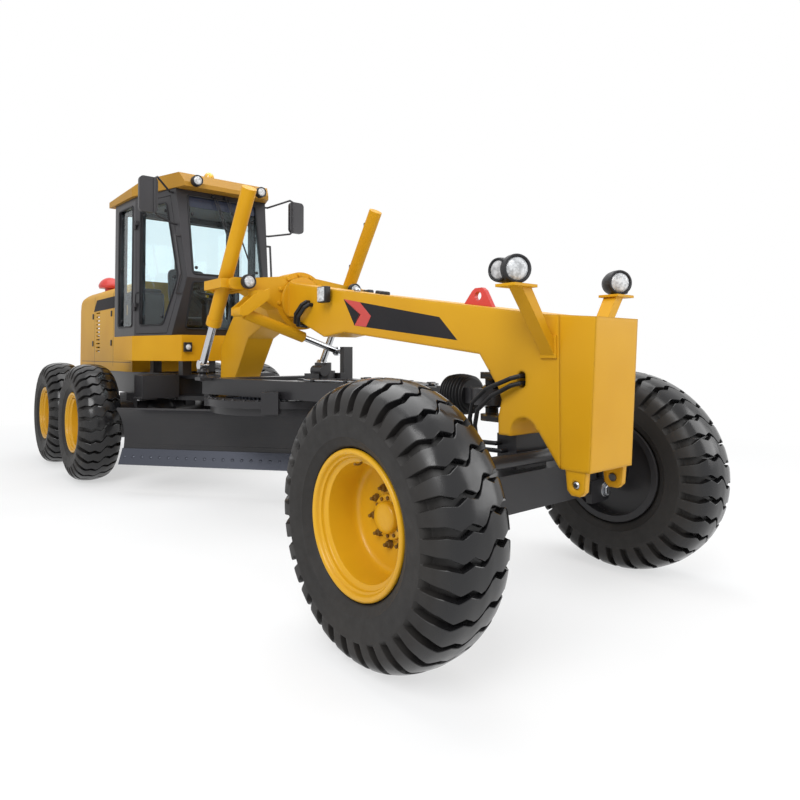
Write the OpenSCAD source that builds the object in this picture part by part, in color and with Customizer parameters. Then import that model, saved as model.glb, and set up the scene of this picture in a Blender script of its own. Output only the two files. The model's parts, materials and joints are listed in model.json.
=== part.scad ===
// Motor grader: articulated frame, leaning front wheels and a blade on a turning circle.
// Millimetres, +X forward, +Y left, +Z up. The origin is on the ground under the middle of the machine.

/* [Overall] */
// Front tyre's leading edge to the rear bumper
overall_length = 8970; // [8900:10:9040]
// Front axle to the middle of the tandem
wheelbase = 6219; // [6180:1:6260]
// Distance between the two wheels of a tandem
tandem_pitch = 1538; // [1500:1:1600]
// Distance between the left and right wheel centres
tread = 2156; // [2140:1:2200]

/* [Wheels] */
// Tyre diameter over the lugs
tyre_d = 1350; // [1330:1:1370]
// Tyre section width
tyre_w = 445; // [430:1:460]
// Number of lugs round a tyre
lug_count = 24; // [20:4:28]
// Height of the lugs
lug_h = 34; // [20:1:40]
// Rim flange diameter
flange_d = 694; // [680:1:710]
// Rim width over the flanges
rim_w = 376; // [360:1:390]
// Distance of the wheel disc inward from the rim's middle
disc_inset = 105; // [85:1:115]
// Wheel spindle diameter
spindle_d = 100; // [80:1:120]

/* [Front axle] */
// Height of the axle beam
axle_beam_h = 215; // [180:1:230]
// Distance of the lean pivot below the wheel's middle
lean_drop = 75; // [65:1:85]
// Distance of the lean pivot from the middle
lean_y = 640; // [630:1:650]
// Distance of the kingpin from the middle
kingpin_y = 800; // [795:1:805]
// Lean pivot to lean bar pin
lean_arm = 270; // [265:1:280]

/* [Front frame] */
// Half width of the nose
nose_half_w = 200; // [190:1:215]
// Half width of the neck at the drum
neck_half_w = 150; // [140:1:160]
// Height of the nose's top
nose_top_z = 1650; // [1630:1:1670]
// Height of the nose's lower edge
nose_low_z = 862; // [850:1:880]
// Drum centre height
drum_z = 1947; // [1930:1:1960]
// Drum radius under the saddle ring
drum_r = 215; // [213:1:220]
// Articulation pin diameter
hinge_pin_d = 120; // [100:1:140]
// Front frame leg's half width
leg_half_w = 140; // [120:1:150]

/* [Drawbar and circle] */
// Height of the drawbar ball
ball_z = 1200; // [1195:1:1205]
// Drawbar ball diameter
ball_d = 170; // [160:1:180]
// Drawbar rail height
rail_h = 150; // [130:1:170]
// Drawbar rail width
rail_w = 120; // [100:1:140]
// Circle outside radius
circle_r = 740; // [730:1:750]
// Circle top height
circle_top_z = 1070; // [1065:1:1075]

/* [Blade] */
// Blade length
blade_l = 3500; // [3400:10:3660]
// Blade height along its chord
blade_h = 564; // [545:1:568]
// Radius of the blade's curve
blade_r = 413; // [400:1:450]
// Blade plate thickness
blade_t = 22; // [16:1:26]
// Angle of the blade to the direction of travel
blade_angle = 40; // [38:1:41]
// Height of the cutting edge above the ground
blade_z = 330; // [325:1:335]

/* [Cylinders] */
// Lift cylinder barrel diameter
lift_barrel_d = 124; // [110:1:130]
// Lift cylinder rod diameter
lift_rod_d = 70; // [60:1:75]
// Side shift cylinder barrel diameter
shift_barrel_d = 96; // [86:1:100]
// Side shift cylinder rod diameter
shift_rod_d = 56; // [46:1:60]

/* [Cab] */
// Height of the roof above the ground
roof_z = 3420; // [3400:1:3440]
// Thickness of the cab walls and doors
cab_wall = 60; // [50:1:70]
// Window glass thickness
glass_t = 8; // [5:1:12]
// Floor plate height
cab_floor_z = 1390; // [1385:1:1400]
// Height of the yellow cab base
cab_base_h = 280; // [260:1:300]

/* [Rear] */
// Hood half width
hood_half_w = 545; // [530:1:560]
// Hood height at its front
hood_top_z = 2390; // [2350:1:2420]
// Hood wall thickness
hood_wall = 25; // [20:1:30]
// Rear frame underside height
frame_low_z = 950; // [945:1:955]
// Rear frame depth
frame_h = 290; // [280:1:300]

/* [Hidden] */
$fn = 64;

// Clearances: a face that only seats, and a shaft that turns in its bore
seat_gap = 0.3;
run_gap = 0.05;
// A bent rod or hose is a little fuller at its bends
bend_swell = 0.6;

yellow = "#e6a11c";
black = "#1d1e20";
dark_grey = "#3a3d40";
red = "#c9302c";
steel = "#b9bcc0";
clear_blue = "#a9cfe0";

// Wheel places
front_x = overall_length / 2 - tyre_d / 2;
tandem_x = front_x - wheelbase;
mid_x = tandem_x + tandem_pitch / 2;
rear_x = tandem_x - tandem_pitch / 2;
rear_end_x = -overall_length / 2;
wheel_z = tyre_d / 2;
wheel_y = tread / 2;

// Rim section
seat_r = flange_d / 2 - 30;
rim_t = 14;
flange_t = 16;
disc_t = 16;
hub_r = 110;
hub_in = 150;
hub_face = 36;
cap_r = 72;
cap_h = 30;
spindle_r = spindle_d / 2;
hub_seat_y = wheel_y - hub_in - seat_gap;
spindle_end_y = wheel_y - disc_inset + 24;

// Tyre section: bead, widest point and shoulder
tyre_steps = 3 * lug_count;
tyre_step = 360 / tyre_steps;
lug_r = tyre_d / 2 / cos(tyre_step / 2);
groove_r = lug_r - lug_h;
bead_r = (seat_r + seat_gap) / cos(tyre_step / 2);
bead_y = rim_w / 2 - flange_t - 22;
bulge_r = (bead_r + lug_r) / 2;
shoulder_y = tyre_w / 2 - 24;

// Small helpers
module cyl_x(x0, x1, y, z, r) { translate([x0, y, z]) rotate([0, 90, 0]) cylinder(h = x1 - x0, r = r); }
module cyl_y(y0, y1, x, z, r) { translate([x, y0, z]) rotate([-90, 0, 0]) cylinder(h = y1 - y0, r = r); }
module cyl_z(z0, z1, x, y, r) { translate([x, y, z0]) cylinder(h = z1 - z0, r = r); }
module box(lo, hi) { translate(lo) cube(hi - lo); }
module plate_xz(points, y0, y1) {
    translate([0, y1, 0]) rotate([90, 0, 0]) linear_extrude(y1 - y0) polygon(points);
}
module plate_xy(points, z0, z1) { translate([0, 0, z0]) linear_extrude(z1 - z0) polygon(points); }
module plate_yz(points, x0, x1) {
    translate([x0, 0, 0]) rotate([90, 0, 90]) linear_extrude(x1 - x0) polygon(points);
}
module left() { children(); }
module right() { mirror([0, 1, 0]) children(); }
module both() { left() children(); right() children(); }
module rod(points, r) {
    for (i = [0:len(points) - 2]) {
        d = points[i + 1] - points[i];
        translate(points[i]) rotate([0, acos(d.z / norm(d)), atan2(d.y, d.x)]) cylinder(h = norm(d), r = r);
    }
    if (len(points) > 2) for (i = [1:len(points) - 2]) translate(points[i]) sphere(r + bend_swell);
}
function mirrored(points) = concat(points, [for (i = [len(points) - 1:-1:0]) [points[i].x, -points[i].y]]);
function arc(cx, cz, r, a0, a1, n) = [for (i = [0:n]) let (a = a0 + (a1 - a0) * i / n) [cx + r * cos(a),
    cz + r * sin(a)]];

// Wheels
function tyre_ring(i) = let (
    a = (i - 0.5) * tyre_step,
    left_r = i % 3 == 2 ? groove_r : lug_r,
    right_r = i % 3 == 0 ? groove_r : lug_r,
    section = [[bead_r, -bead_y], [bulge_r, -tyre_w / 2], [right_r, -shoulder_y],
               [left_r, shoulder_y], [bulge_r, tyre_w / 2], [bead_r, bead_y]]
) [for (p = section) [p[0] * sin(a), p[1], -p[0] * cos(a)]];

module tyre_solid() {
    n = 6;
    points = [for (i = [0:tyre_steps - 1]) each tyre_ring(i)];
    faces = [for (i = [0:tyre_steps - 1]) for (j = [0:n - 1])
        let (k = (i + 1) % tyre_steps, m = (j + 1) % n, a = i * n + j, b = k * n + j, c = k * n + m,
            d = i * n + m)
        each [[a, c, b], [a, d, c]]];
    polyhedron(points, faces);
}
module rim_solid() {
    in_r = seat_r - rim_t;
    well_r = in_r - 26;
    lip_y = rim_w / 2 - 48;
    face_y = disc_t - disc_inset;
    half = rim_w / 2;
    flange_r = flange_d / 2;
    bore_r = spindle_r + run_gap;
    bore_y = 30 - disc_inset;
    rotate([-90, 0, 0]) rotate_extrude() polygon([
        [bore_r, -hub_in], [hub_r, -hub_in], [hub_r, -disc_inset], [in_r, -disc_inset], [in_r, -half],
        [flange_r, -half], [flange_r, flange_t - half], [seat_r, flange_t - half],
        [seat_r, half - flange_t], [flange_r, half - flange_t], [flange_r, half], [in_r, half],
        [in_r, lip_y], [well_r, lip_y - 12], [well_r, face_y], [hub_r, face_y],
        [hub_r, face_y + hub_face], [cap_r, face_y + hub_face],
        [cap_r, face_y + hub_face + cap_h], [0, face_y + hub_face + cap_h], [0, bore_y], [bore_r, bore_y]]);
}
module at_wheel(x) { translate([x, wheel_y, wheel_z]) children(); }
module tyre_at(x) { color(black) at_wheel(x) tyre_solid(); }
module rim_at(x) { color(yellow) at_wheel(x) rim_solid(); }
module tyre_front_left() { tyre_at(front_x); }
module tyre_front_right() { right() tyre_at(front_x); }
module tyre_mid_left() { tyre_at(mid_x); }
module tyre_mid_right() { right() tyre_at(mid_x); }
module tyre_rear_left() { tyre_at(rear_x); }
module tyre_rear_right() { right() tyre_at(rear_x); }
module rim_front_left() { rim_at(front_x); }
module rim_front_right() { right() rim_at(front_x); }
module rim_mid_left() { rim_at(mid_x); }
module rim_mid_right() { right() rim_at(mid_x); }
module rim_rear_left() { rim_at(rear_x); }
module rim_rear_right() { right() rim_at(rear_x); }

// Front axle: beam with forked ends, lean yokes, knuckles and the bar that links the yokes
lean_z = wheel_z - lean_drop;
beam_top_z = wheel_z + 125;
beam_low_z = beam_top_z - axle_beam_h;
beam_half_x = 120;
lean_pin_r = 35;
ear_t = 40;
yoke_half_x = 88;
saddle_top_z = wheel_z + 325;
kingpin_r = 35;
knuckle_half_h = 110;
arm_t = 54;
lean_bar_z = lean_z + lean_arm;
lean_arm_half = 55;
lean_eye_half = 40;
lean_bar_x = front_x + lean_arm_half + lean_eye_half + seat_gap;
lean_stub_r = 22;
lean_slack = 15;

axle_seat_half_w = 140;
module front_axle() {
    ear_r = 70;
    ear_x = yoke_half_x + 2;
    color(black) {
        box([front_x - beam_half_x, -lean_y + 80, beam_low_z],
            [front_x + beam_half_x, lean_y - 80, beam_top_z]);
        box([front_x - 90, -axle_seat_half_w, beam_top_z - 1],
            [front_x + 50, axle_seat_half_w, saddle_top_z]);
        both() for (s = [-1, 1]) {
            x0 = front_x + (s > 0 ? ear_x : -ear_x - ear_t);
            cyl_x(x0, x0 + ear_t, lean_y, lean_z, ear_r);
            box([x0, lean_y - 150, lean_z - ear_r], [x0 + ear_t, lean_y, lean_z + ear_r]);
        }
        both() cyl_x(front_x - ear_x - ear_t, front_x + ear_x + ear_t, lean_y, lean_z, lean_pin_r);
    }
}
module lean_yoke() {
    arm_gap = knuckle_half_h + seat_gap;
    upright_y0 = lean_y + 50;
    upright_y1 = kingpin_y - 62;
    color(black) {
        difference() {
            union() {
                cyl_x(front_x - yoke_half_x, front_x + yoke_half_x, lean_y, lean_z, 64);
                box([front_x - lean_arm_half, upright_y0, wheel_z - arm_gap - arm_t],
                    [front_x + lean_arm_half, upright_y1, lean_bar_z + 30]);
            }
            cyl_x(front_x - 200, front_x + 200, lean_y, lean_z, lean_pin_r + run_gap);
        }
        for (z = [wheel_z - arm_gap - arm_t, wheel_z + arm_gap]) {
            box([front_x - lean_arm_half, upright_y1 - 1, z], [front_x + lean_arm_half, kingpin_y,
                z + arm_t]);
            cyl_z(z, z + arm_t, front_x, kingpin_y, lean_arm_half);
        }
        cyl_z(wheel_z - arm_gap - arm_t, wheel_z + arm_gap + arm_t, front_x, kingpin_y, kingpin_r);
        box([front_x - lean_arm_half, lean_y - 30, lean_bar_z - 30],
            [front_x + lean_arm_half, upright_y1, lean_bar_z + 30]);
        cyl_x(front_x, lean_bar_x + 50, lean_y, lean_bar_z, lean_stub_r);
    }
}
module lean_yoke_left() { lean_yoke(); }
module lean_yoke_right() { right() lean_yoke(); }
module lean_bar() {
    eye_r = 62;
    color(black) difference() {
        union() {
            cyl_y(-lean_y, lean_y, lean_bar_x, lean_bar_z, 38);
            both() cyl_x(lean_bar_x - lean_eye_half, lean_bar_x + lean_eye_half, lean_y, lean_bar_z, eye_r);
        }
        both() cyl_x(lean_bar_x - 100, lean_bar_x + 100, lean_y, lean_bar_z, lean_stub_r + lean_slack);
    }
}
module knuckle() {
    shoulder_y0 = kingpin_y + 50;
    color(black) difference() {
        union() {
            cyl_z(wheel_z - knuckle_half_h, wheel_z + knuckle_half_h, front_x, kingpin_y, 60);
            cyl_y(kingpin_y + 20, hub_seat_y, front_x, wheel_z, 92);
            cyl_y(shoulder_y0, spindle_end_y, front_x, wheel_z, spindle_r);
        }
        cyl_z(wheel_z - 200, wheel_z + 200, front_x, kingpin_y, kingpin_r + run_gap);
    }
}
module knuckle_left() { knuckle(); }
module knuckle_right() { right() knuckle(); }

// Front frame: nose box, neck, drum for the saddle and the leg down to the articulation pin
nose_x = front_x + 600;
// Stations are measured back from the front axle or from the articulation pin
hinge_x = front_x - 4060;
hinge_pin_r = hinge_pin_d / 2;
hinge_eye_r = 130;
fork_t = 50;
frame_top_z = frame_low_z + frame_h;
eye_low_z = frame_low_z + fork_t + seat_gap;
eye_top_z = frame_top_z - fork_t - seat_gap;
leg_rear_x = hinge_x + 160;
leg_low_z = 960;
drum_x0 = front_x - 2720;
drum_x1 = drum_x0 + 255;
// The neck's corners stay inside the drum
neck_half_h = sqrt(drum_r * drum_r - neck_half_w * neck_half_w) - 2;
bend_x = front_x - 1598;
knee_x = bend_x - 288;
crest_x = bend_x - 70;
leg_front_x = hinge_x + 400;
neck_rise = 0.149;
neck_start_x = front_x + 293;
function neck_top(x) = nose_top_z + 27 + (neck_start_x - x) * neck_rise;
function neck_bottom(x) = neck_top(x) - 325;
ball_x = front_x - 250;
ball_r = ball_d / 2;
ball_pin_r = 40;
ball_arm_gap = 110;
ball_arm_t = 40;

module neck_side() {
    polygon(concat(
        [[nose_x, nose_top_z], [nose_x - nose_lean, nose_low_z], [front_x + 380, nose_low_z],
            [front_x + 248, nose_low_z + 180]],
        arc(front_x + 147, saddle_top_z + 18, 92, 20, 190, 12),
        [[front_x + 56, saddle_top_z], [front_x - 34, saddle_top_z], [front_x - 34, saddle_top_z + 100],
         [front_x - 8, saddle_top_z + 200], [front_x - 35, 1270],
             [front_x - 178, neck_bottom(front_x - 178) + 40],
         [bend_x, neck_bottom(bend_x)], [knee_x, neck_bottom(bend_x) - 30],
             [drum_x1 + 60, drum_z - neck_half_h],
         [drum_x0 - 100, drum_z - neck_half_h], [leg_front_x + 395, drum_z - 327],
             [leg_front_x + 75, drum_z - 772],
         [leg_front_x, leg_low_z], [leg_rear_x, leg_low_z], [leg_rear_x, drum_z - 407],
             [leg_front_x, drum_z - 152],
         [leg_front_x + 270, drum_z + 93], [leg_front_x + 550, drum_z + neck_half_h],
             [drum_x1, drum_z + neck_half_h],
         [crest_x, neck_top(crest_x)], [neck_start_x, neck_top(neck_start_x)]]));
}
nose_back_x = front_x + 275;
nose_lean = 45;
nose_round = 42;
seam_x = front_x + 385;
seam_w = 8;
seam_d = 5;
hose_slot_x = front_x + 138;
hose_slot_z = 1320;
hose_slot_r = 24;
hose_slot_h = 44;
hose_slot_d = 60;
// Taller than any part of the neck
neck_reach = 3000;
function neck_plan(gap) = mirrored([[nose_x, nose_half_w + gap], [nose_back_x, nose_half_w + gap],
    [drum_x1, neck_half_w + gap], [drum_x0 - 100, neck_half_w + gap], [leg_front_x + 250, leg_half_w + gap],
    [hinge_x - 200, leg_half_w + gap]]);
// The neck's half width, and the underside between the drum and the knee
function neck_wall(x) = neck_half_w + (x - drum_x1) * (nose_half_w - neck_half_w) / (nose_back_x - drum_x1);
function neck_under(x) = drum_z - neck_half_h + (x - drum_x1 - 60)
    * (neck_bottom(bend_x) - 30 - drum_z + neck_half_h) / (knee_x - drum_x1 - 60);
// What a rounded front edge of the nose takes off its square corner, along the nose's lean
module nose_edge_cut() {
    nose_h = nose_top_z - nose_low_z;
    spare = 60;
    lean = atan2(nose_lean, nose_h);
    translate([nose_x - nose_lean, nose_half_w, nose_low_z]) rotate([0, lean, 0]) difference() {
        box([-nose_round, -nose_round, -spare], [nose_round, nose_round, nose_h + spare]);
        cyl_z(-2 * spare, nose_h + 2 * spare, -nose_round, -nose_round, nose_round);
    }
}
module hose_slot() {
    y0 = nose_half_w - hose_slot_d;
    y1 = nose_half_w + 50;
    low = hose_slot_z - hose_slot_h / 2;
    box([hose_slot_x - hose_slot_r, y0, low], [hose_slot_x + hose_slot_r, y1, low + hose_slot_h]);
    for (z = [low, low + hose_slot_h]) cyl_y(y0, y1, hose_slot_x, z, hose_slot_r);
}
module gooseneck() {
    tow_x = front_x + 470;
    color(yellow) difference() {
        union() {
            intersection() {
                translate([0, 500, 0]) rotate([90, 0, 0]) linear_extrude(1000) neck_side();
                plate_xy(neck_plan(0), 0, neck_reach);
            }
            cyl_x(drum_x0, drum_x1, 0, drum_z, drum_r);
            cyl_z(eye_low_z, eye_top_z, hinge_x, 0, hinge_eye_r);
            box([hinge_x, -100, eye_low_z], [leg_rear_x + 50, 100, eye_top_z]);
            for (z = [ball_z - ball_arm_gap - ball_arm_t, ball_z + ball_arm_gap]) {
                cyl_z(z, z + ball_arm_t, ball_x, 0, 70);
                box([ball_x, -70, z], [front_x + 20, 70, z + ball_arm_t]);
            }
            cyl_z(ball_z - ball_arm_gap - 1, ball_z + ball_arm_gap + 1, ball_x, 0, ball_pin_r);
            both() plate_xz([[tow_x - 60, nose_low_z + 5], [tow_x - 50, 760], [tow_x - 25, 735],
                [tow_x + 25, 735],
                             [tow_x + 50, 760], [tow_x + 60, nose_low_z + 5]], nose_half_w - 45,
                                 nose_half_w - 5);
        }
        cyl_z(0, neck_reach, hinge_x, 0, hinge_pin_r + run_gap);
        both() nose_edge_cut();
        both() hose_slot();
        both() box([seam_x - seam_w / 2, nose_half_w - seam_d, 0],
            [seam_x + seam_w / 2, nose_half_w + 50, neck_reach]);
        cyl_y(-300, 300, tow_x, 790, 22);
    }
}
module lifting_lug() {
    x0 = front_x - 465;
    x1 = front_x - 228;
    color(red) difference() {
        plate_xz([[x0, neck_top(x0)], [x1, neck_top(x1)], [x1 - 60, neck_top(x1) + 110],
            [x1 - 85, neck_top(x1) + 130],
                  [x0 + 95, neck_top(x1) + 130], [x0 + 70, neck_top(x1) + 115]], -16, 16);
        cyl_y(-40, 40, (x0 + x1) / 2, neck_top(x1) + 78, 28);
    }
}

// Hoses: two on each side from the nose's slot down to the axle's saddle, and a pair round the neck's side
module hoses() {
    nose_hose_r = 13;
    neck_hose_r = 17;
    wall = nose_half_w;
    saddle_y = axle_seat_half_w + seat_gap;
    neck_x = drum_x1 + 395;
    loop_z = drum_z - 232;
    down = [neck_under(1) - neck_under(0), 0, -1] / norm([neck_under(1) - neck_under(0), 1]);
    color(black) both() {
        for (k = [0, 1]) {
            z = hose_slot_z - 20 + 40 * k;
            x = front_x - 24 - 40 * k;
            end_z = saddle_top_z - 95 + 40 * k;
            rod([[hose_slot_x, wall - hose_slot_d + 2, z], [hose_slot_x, wall + 20, z],
                 [hose_slot_x - 45, wall + 42, z - 14], [x - 20, wall + 45, z - 80],
                 [x - 125, wall + 45, z - 165], [x - 150, wall + 40, z - 260],
                 [x - 150, wall + 15, end_z], [x, saddle_y + 45, end_z], [x, saddle_y, end_z]], nose_hose_r);
        }
        for (k = [0, 1]) {
            x = neck_x - 46 * k;
            y = neck_wall(x) + 3 * seat_gap;
            z = drum_z - 70 + 25 * k;
            low = loop_z + 25 * k;
            foot = [x - 205, 80, neck_under(x - 205)] + 2 * seat_gap * down;
            rod([[x, y, z], [x, y + 34, z], [x - 26, y + 58, z - 22], [x - 110, y + 66, z - 95],
                 [x - 175, y + 30, low], [x - 205, y - 20, low], foot + 40 * down, foot], neck_hose_r);
        }
    }
}

// Saddle: the ring on the drum with arms that hold the lift cylinders' gimbals
lift_x = drum_x0 + 10;
lift_y = 660;
lift_z = drum_z + 118;
gimbal_half_x = 175;
gimbal_half_y = 105;
gimbal_half_z = 40;
gimbal_pin_r = 24;
shift_x = drum_x1 + 30;
shift_y = -640;
shift_z = drum_z - 127;
shift_lug_gap = shift_barrel_d / 2 + 6;
shift_lug_t = 30;
shift_pin_r = 25;
saddle_x0 = drum_x0 + 20;
saddle_x1 = drum_x1 - 25;
arm_y = lift_y - gimbal_half_y - 12;
module saddle() {
    ring_r = drum_r + 47;
    prong_t = 40;
    prong_x = gimbal_half_x + seat_gap;
    color(yellow) difference() {
        union() {
            cyl_x(saddle_x0, saddle_x1, 0, drum_z, ring_r);
            both() {
                plate_yz([[150, drum_z + 215], [arm_y, lift_z + 50], [arm_y, lift_z - 50],
                    [240, drum_z - 90]],
                         saddle_x0, saddle_x1);
                box([lift_x - prong_x - prong_t, arm_y - 60, lift_z - 50],
                    [lift_x + prong_x + prong_t, arm_y, lift_z + 50]);
                for (s = [-1, 1]) {
                    x0 = lift_x + (s > 0 ? prong_x : -prong_x - prong_t);
                    box([x0, arm_y - 1, lift_z - 50], [x0 + prong_t, lift_y, lift_z + 50]);
                    cyl_x(x0, x0 + prong_t, lift_y, lift_z, 50);
                }
            }
            for (x = [shift_x - shift_lug_gap - shift_lug_t, shift_x + shift_lug_gap]) plate_yz(
                [[-arm_y + 140, lift_z - 40], [-arm_y, lift_z - 100], [shift_y - 40, shift_z + 30],
                    [shift_y - 40, shift_z - 30],
                 [shift_y - 10, shift_z - 42], [shift_y + 35, shift_z - 30],
                     [-arm_y + 140, lift_z - 130]], x, x + shift_lug_t);
            box([shift_x - shift_lug_gap - shift_lug_t, -arm_y + 20, lift_z - 110],
                [shift_x + shift_lug_gap + shift_lug_t, -arm_y + 130, lift_z - 60]);
            cyl_x(shift_x - shift_lug_gap - shift_lug_t, shift_x + shift_lug_gap + shift_lug_t, shift_y,
                shift_z, shift_pin_r);
        }
        cyl_x(saddle_x0 - 10, saddle_x1 + 10, 0, drum_z, drum_r + seat_gap);
        both() cyl_x(lift_x - 300, lift_x + 300, lift_y, lift_z, gimbal_pin_r + run_gap);
    }
}
module lift_yoke() {
    inner_x = 135;
    inner_y = lift_barrel_d / 2 + 8;
    color(yellow) difference() {
        union() {
            box([lift_x - gimbal_half_x, lift_y - gimbal_half_y, lift_z - gimbal_half_z],
                [lift_x + gimbal_half_x, lift_y + gimbal_half_y, lift_z + gimbal_half_z]);
            for (s = [-1, 1]) cyl_x(lift_x + (s > 0 ? gimbal_half_x - 20 : -gimbal_half_x - 40),
                                    lift_x + (s > 0 ? gimbal_half_x + 40 : -gimbal_half_x + 20), lift_y,
                                        lift_z, gimbal_pin_r);
        }
        box([lift_x - inner_x, lift_y - inner_y, lift_z - 100],
            [lift_x + inner_x, lift_y + inner_y, lift_z + 100]);
        cyl_y(lift_y - 200, lift_y + 200, lift_x, lift_z, gimbal_pin_r + run_gap);
    }
}
module lift_yoke_left() { lift_yoke(); }
module lift_yoke_right() { right() lift_yoke(); }

// Lift cylinders lean forward at the top
eye_x = lift_x - 440;
eye_z = lift_z - 702;
eye_r = 45;
lift_tilt = atan2(lift_x - eye_x, lift_z - eye_z);
gland_at = 430;
barrel_top = 1720;
barrel_cap = 60;
retract_room = 130;
module along_lift() { translate([eye_x, lift_y, eye_z]) rotate([0, lift_tilt, 0]) children(); }
module lift_barrel() {
    rod_r = lift_rod_d / 2;
    barrel_r = lift_barrel_d / 2;
    color(yellow) difference() {
        union() {
            along_lift() {
                translate([0, 0, gland_at]) cylinder(h = barrel_top - gland_at, r = barrel_r);
                translate([0, 0, gland_at]) cylinder(h = 70, r = barrel_r + 6);
            }
            cyl_y(lift_y - gimbal_half_y + 1, lift_y + gimbal_half_y - 1, lift_x, lift_z, gimbal_pin_r);
        }
        along_lift() translate([0, 0, gland_at - 10]) cylinder(h = barrel_top - barrel_cap - gland_at + 10,
            r = rod_r + run_gap);
    }
}
module lift_barrel_left() { lift_barrel(); }
module lift_barrel_right() { right() lift_barrel(); }
module lift_rod() {
    color(steel) {
        along_lift() cylinder(h = barrel_top - barrel_cap - retract_room, r = lift_rod_d / 2);
        cyl_y(lift_y - 42, lift_y + 42, eye_x, eye_z, eye_r);
    }
}
module lift_rod_left() { lift_rod(); }
module lift_rod_right() { right() lift_rod(); }

// Side shift cylinder, from the saddle's right arm down to a post on the drawbar
post_y = 360;
post_z = 1490;
shift_slope = atan2(post_z - shift_z, post_y - shift_y);
shift_len = norm([post_z - shift_z, post_y - shift_y]);
shift_barrel_l = 655;
shift_cap = 60;
shift_stroke = 560;
module along_shift() { translate([shift_x, shift_y, shift_z]) rotate([shift_slope - 90, 0, 0]) children(); }
module shift_barrel() {
    eye_half = shift_lug_gap - seat_gap;
    color(yellow) difference() {
        union() {
            along_shift() translate([0, 0, 50]) cylinder(h = shift_barrel_l - 50, r = shift_barrel_d / 2);
            along_shift() cylinder(h = 60, r = 30);
            cyl_x(shift_x - eye_half, shift_x + eye_half, shift_y, shift_z, 42);
        }
        along_shift() translate([0, 0, shift_cap]) cylinder(h = shift_barrel_l,
            r = shift_rod_d / 2 + run_gap);
        cyl_x(shift_x - 100, shift_x + 100, shift_y, shift_z, shift_pin_r + run_gap);
    }
}
module shift_rod() {
    color(steel) {
        rod_start = shift_cap + shift_stroke / 2;
        along_shift() translate([0, 0, rod_start]) cylinder(h = shift_len - rod_start, r = shift_rod_d / 2);
        cyl_x(shift_x - 25, shift_x + 25, post_y, post_z, 42);
        cyl_x(shift_x, shift_x + 66, post_y, post_z, 22);
    }
}

// Drawbar: an A-frame on a ball under the neck, with the circle hung below it
rail_low_z = circle_top_z + 20;
rail_top_z = rail_low_z + rail_h;
circle_x = front_x - 2760;
flange_low_z = circle_top_z - 60;
web_low_z = circle_top_z - 125;
web_r = circle_r - 50;
circle_in_r = circle_r - 180;
stud_ball_r = 45;
// Room for the rod eye to come down on the stud when the drawbar is lifted
stud_room = 18;
stud_z = eye_z - eye_r - stud_ball_r - stud_room;
module ball_bearing() {
    color(steel) difference() {
        intersection() {
            translate([ball_x, 0, ball_z]) sphere(ball_r);
            cyl_z(ball_z - 74, ball_z + 74, ball_x, 0, 200);
        }
        cyl_z(ball_z - 200, ball_z + 200, ball_x, 0, ball_pin_r + run_gap);
    }
}
module drawbar() {
    tip_x = ball_x - 360;
    rear_x0 = eye_x - 100;
    rear_half_w = 620;
    cross_x0 = circle_x + 510;
    cross_x1 = cross_x0 + 140;
    slope = (rear_half_w - 70) / (tip_x - rear_x0);
    function half_w(x) = 70 + (tip_x - x) * slope;
    function inner_w(x) = half_w(x) - rail_w;
    front_gap_x = tip_x - 180 - (rail_w - 70) / slope;
    post_x0 = shift_x + 110;
    drive_x = cross_x0 + 110;
    color(black) difference() {
        union() {
            difference() {
                plate_xy(mirrored([[tip_x, 70], [rear_x0, rear_half_w]]), rail_low_z, rail_top_z);
                plate_xy(mirrored([[front_gap_x, inner_w(front_gap_x)],
                    [cross_x1, inner_w(cross_x1)]]), 0, 2000);
                plate_xy(mirrored([[cross_x0, inner_w(cross_x0)],
                    [rear_x0 + 180, inner_w(rear_x0 + 180)]]), 0, 2000);
            }
            box([tip_x - 60, -70, ball_z - 50], [ball_x, 70, ball_z + 50]);
            cyl_z(ball_z - 50, ball_z + 50, ball_x, 0, 130);
            both() {
                box([eye_x - 60, 520, rail_top_z - 20], [eye_x + 60, lift_y + 50, rail_top_z + 10]);
                cyl_z(rail_top_z, stud_z, eye_x, lift_y, 30);
                translate([eye_x, lift_y, stud_z]) sphere(stud_ball_r);
            }
            box([cross_x0, -190, rail_top_z - 30], [cross_x1 + 80, 190, rail_top_z + 14]);
            cyl_z(rail_top_z, rail_top_z + 80, drive_x, 0, 105);
            cyl_z(rail_top_z, rail_top_z + 150, drive_x, 0, 72);
            cyl_x(drive_x - 40, cross_x1 + 85, -60, rail_top_z + 82, 46);
            both() box([cross_x1 - 60, 110, rail_top_z - 20], [cross_x1 + 75, 170, rail_top_z + 60]);
            box([post_x0, post_y - 50, rail_top_z - 10], [post_x0 + 60, post_y + 50, post_z + 40]);
            for (a = [40, 140, 220, 320]) translate([circle_x, 0, 0]) rotate(a) {
                box([circle_r + 6, -70, flange_low_z - 40], [circle_r + 60, 70, rail_low_z + 10]);
                box([web_r + 8, -70, flange_low_z - 40], [circle_r + 60, 70, flange_low_z - seat_gap]);
            }
            for (a = [40, 140, 220, 320]) translate([circle_x, 0, 0]) rotate(a)
                box([circle_r - 260, -70, rail_low_z], [circle_r + 60, 70, rail_low_z + 60]);
        }
        translate([ball_x, 0, ball_z]) sphere(ball_r + seat_gap);
    }
}
module drawbar_boot() {
    x1 = ball_x - 158;
    ribs = 7;
    pitch = 28;
    rib_r = 134;
    dip_r = 114;
    color(black) translate([x1, 0, ball_z]) rotate([0, -90, 0]) difference() {
        rotate_extrude() polygon(concat(
            [[0, 0]], [for (i = [0:ribs - 1]) each [[dip_r, i * pitch], [rib_r, (i + 0.5) * pitch]]],
            [[dip_r, ribs * pitch], [0, ribs * pitch]]));
        translate([0, 0, ribs * pitch / 2]) cube([100 + 2 * seat_gap, 140 + 2 * seat_gap, 600],
            center = true);
    }
}

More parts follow.
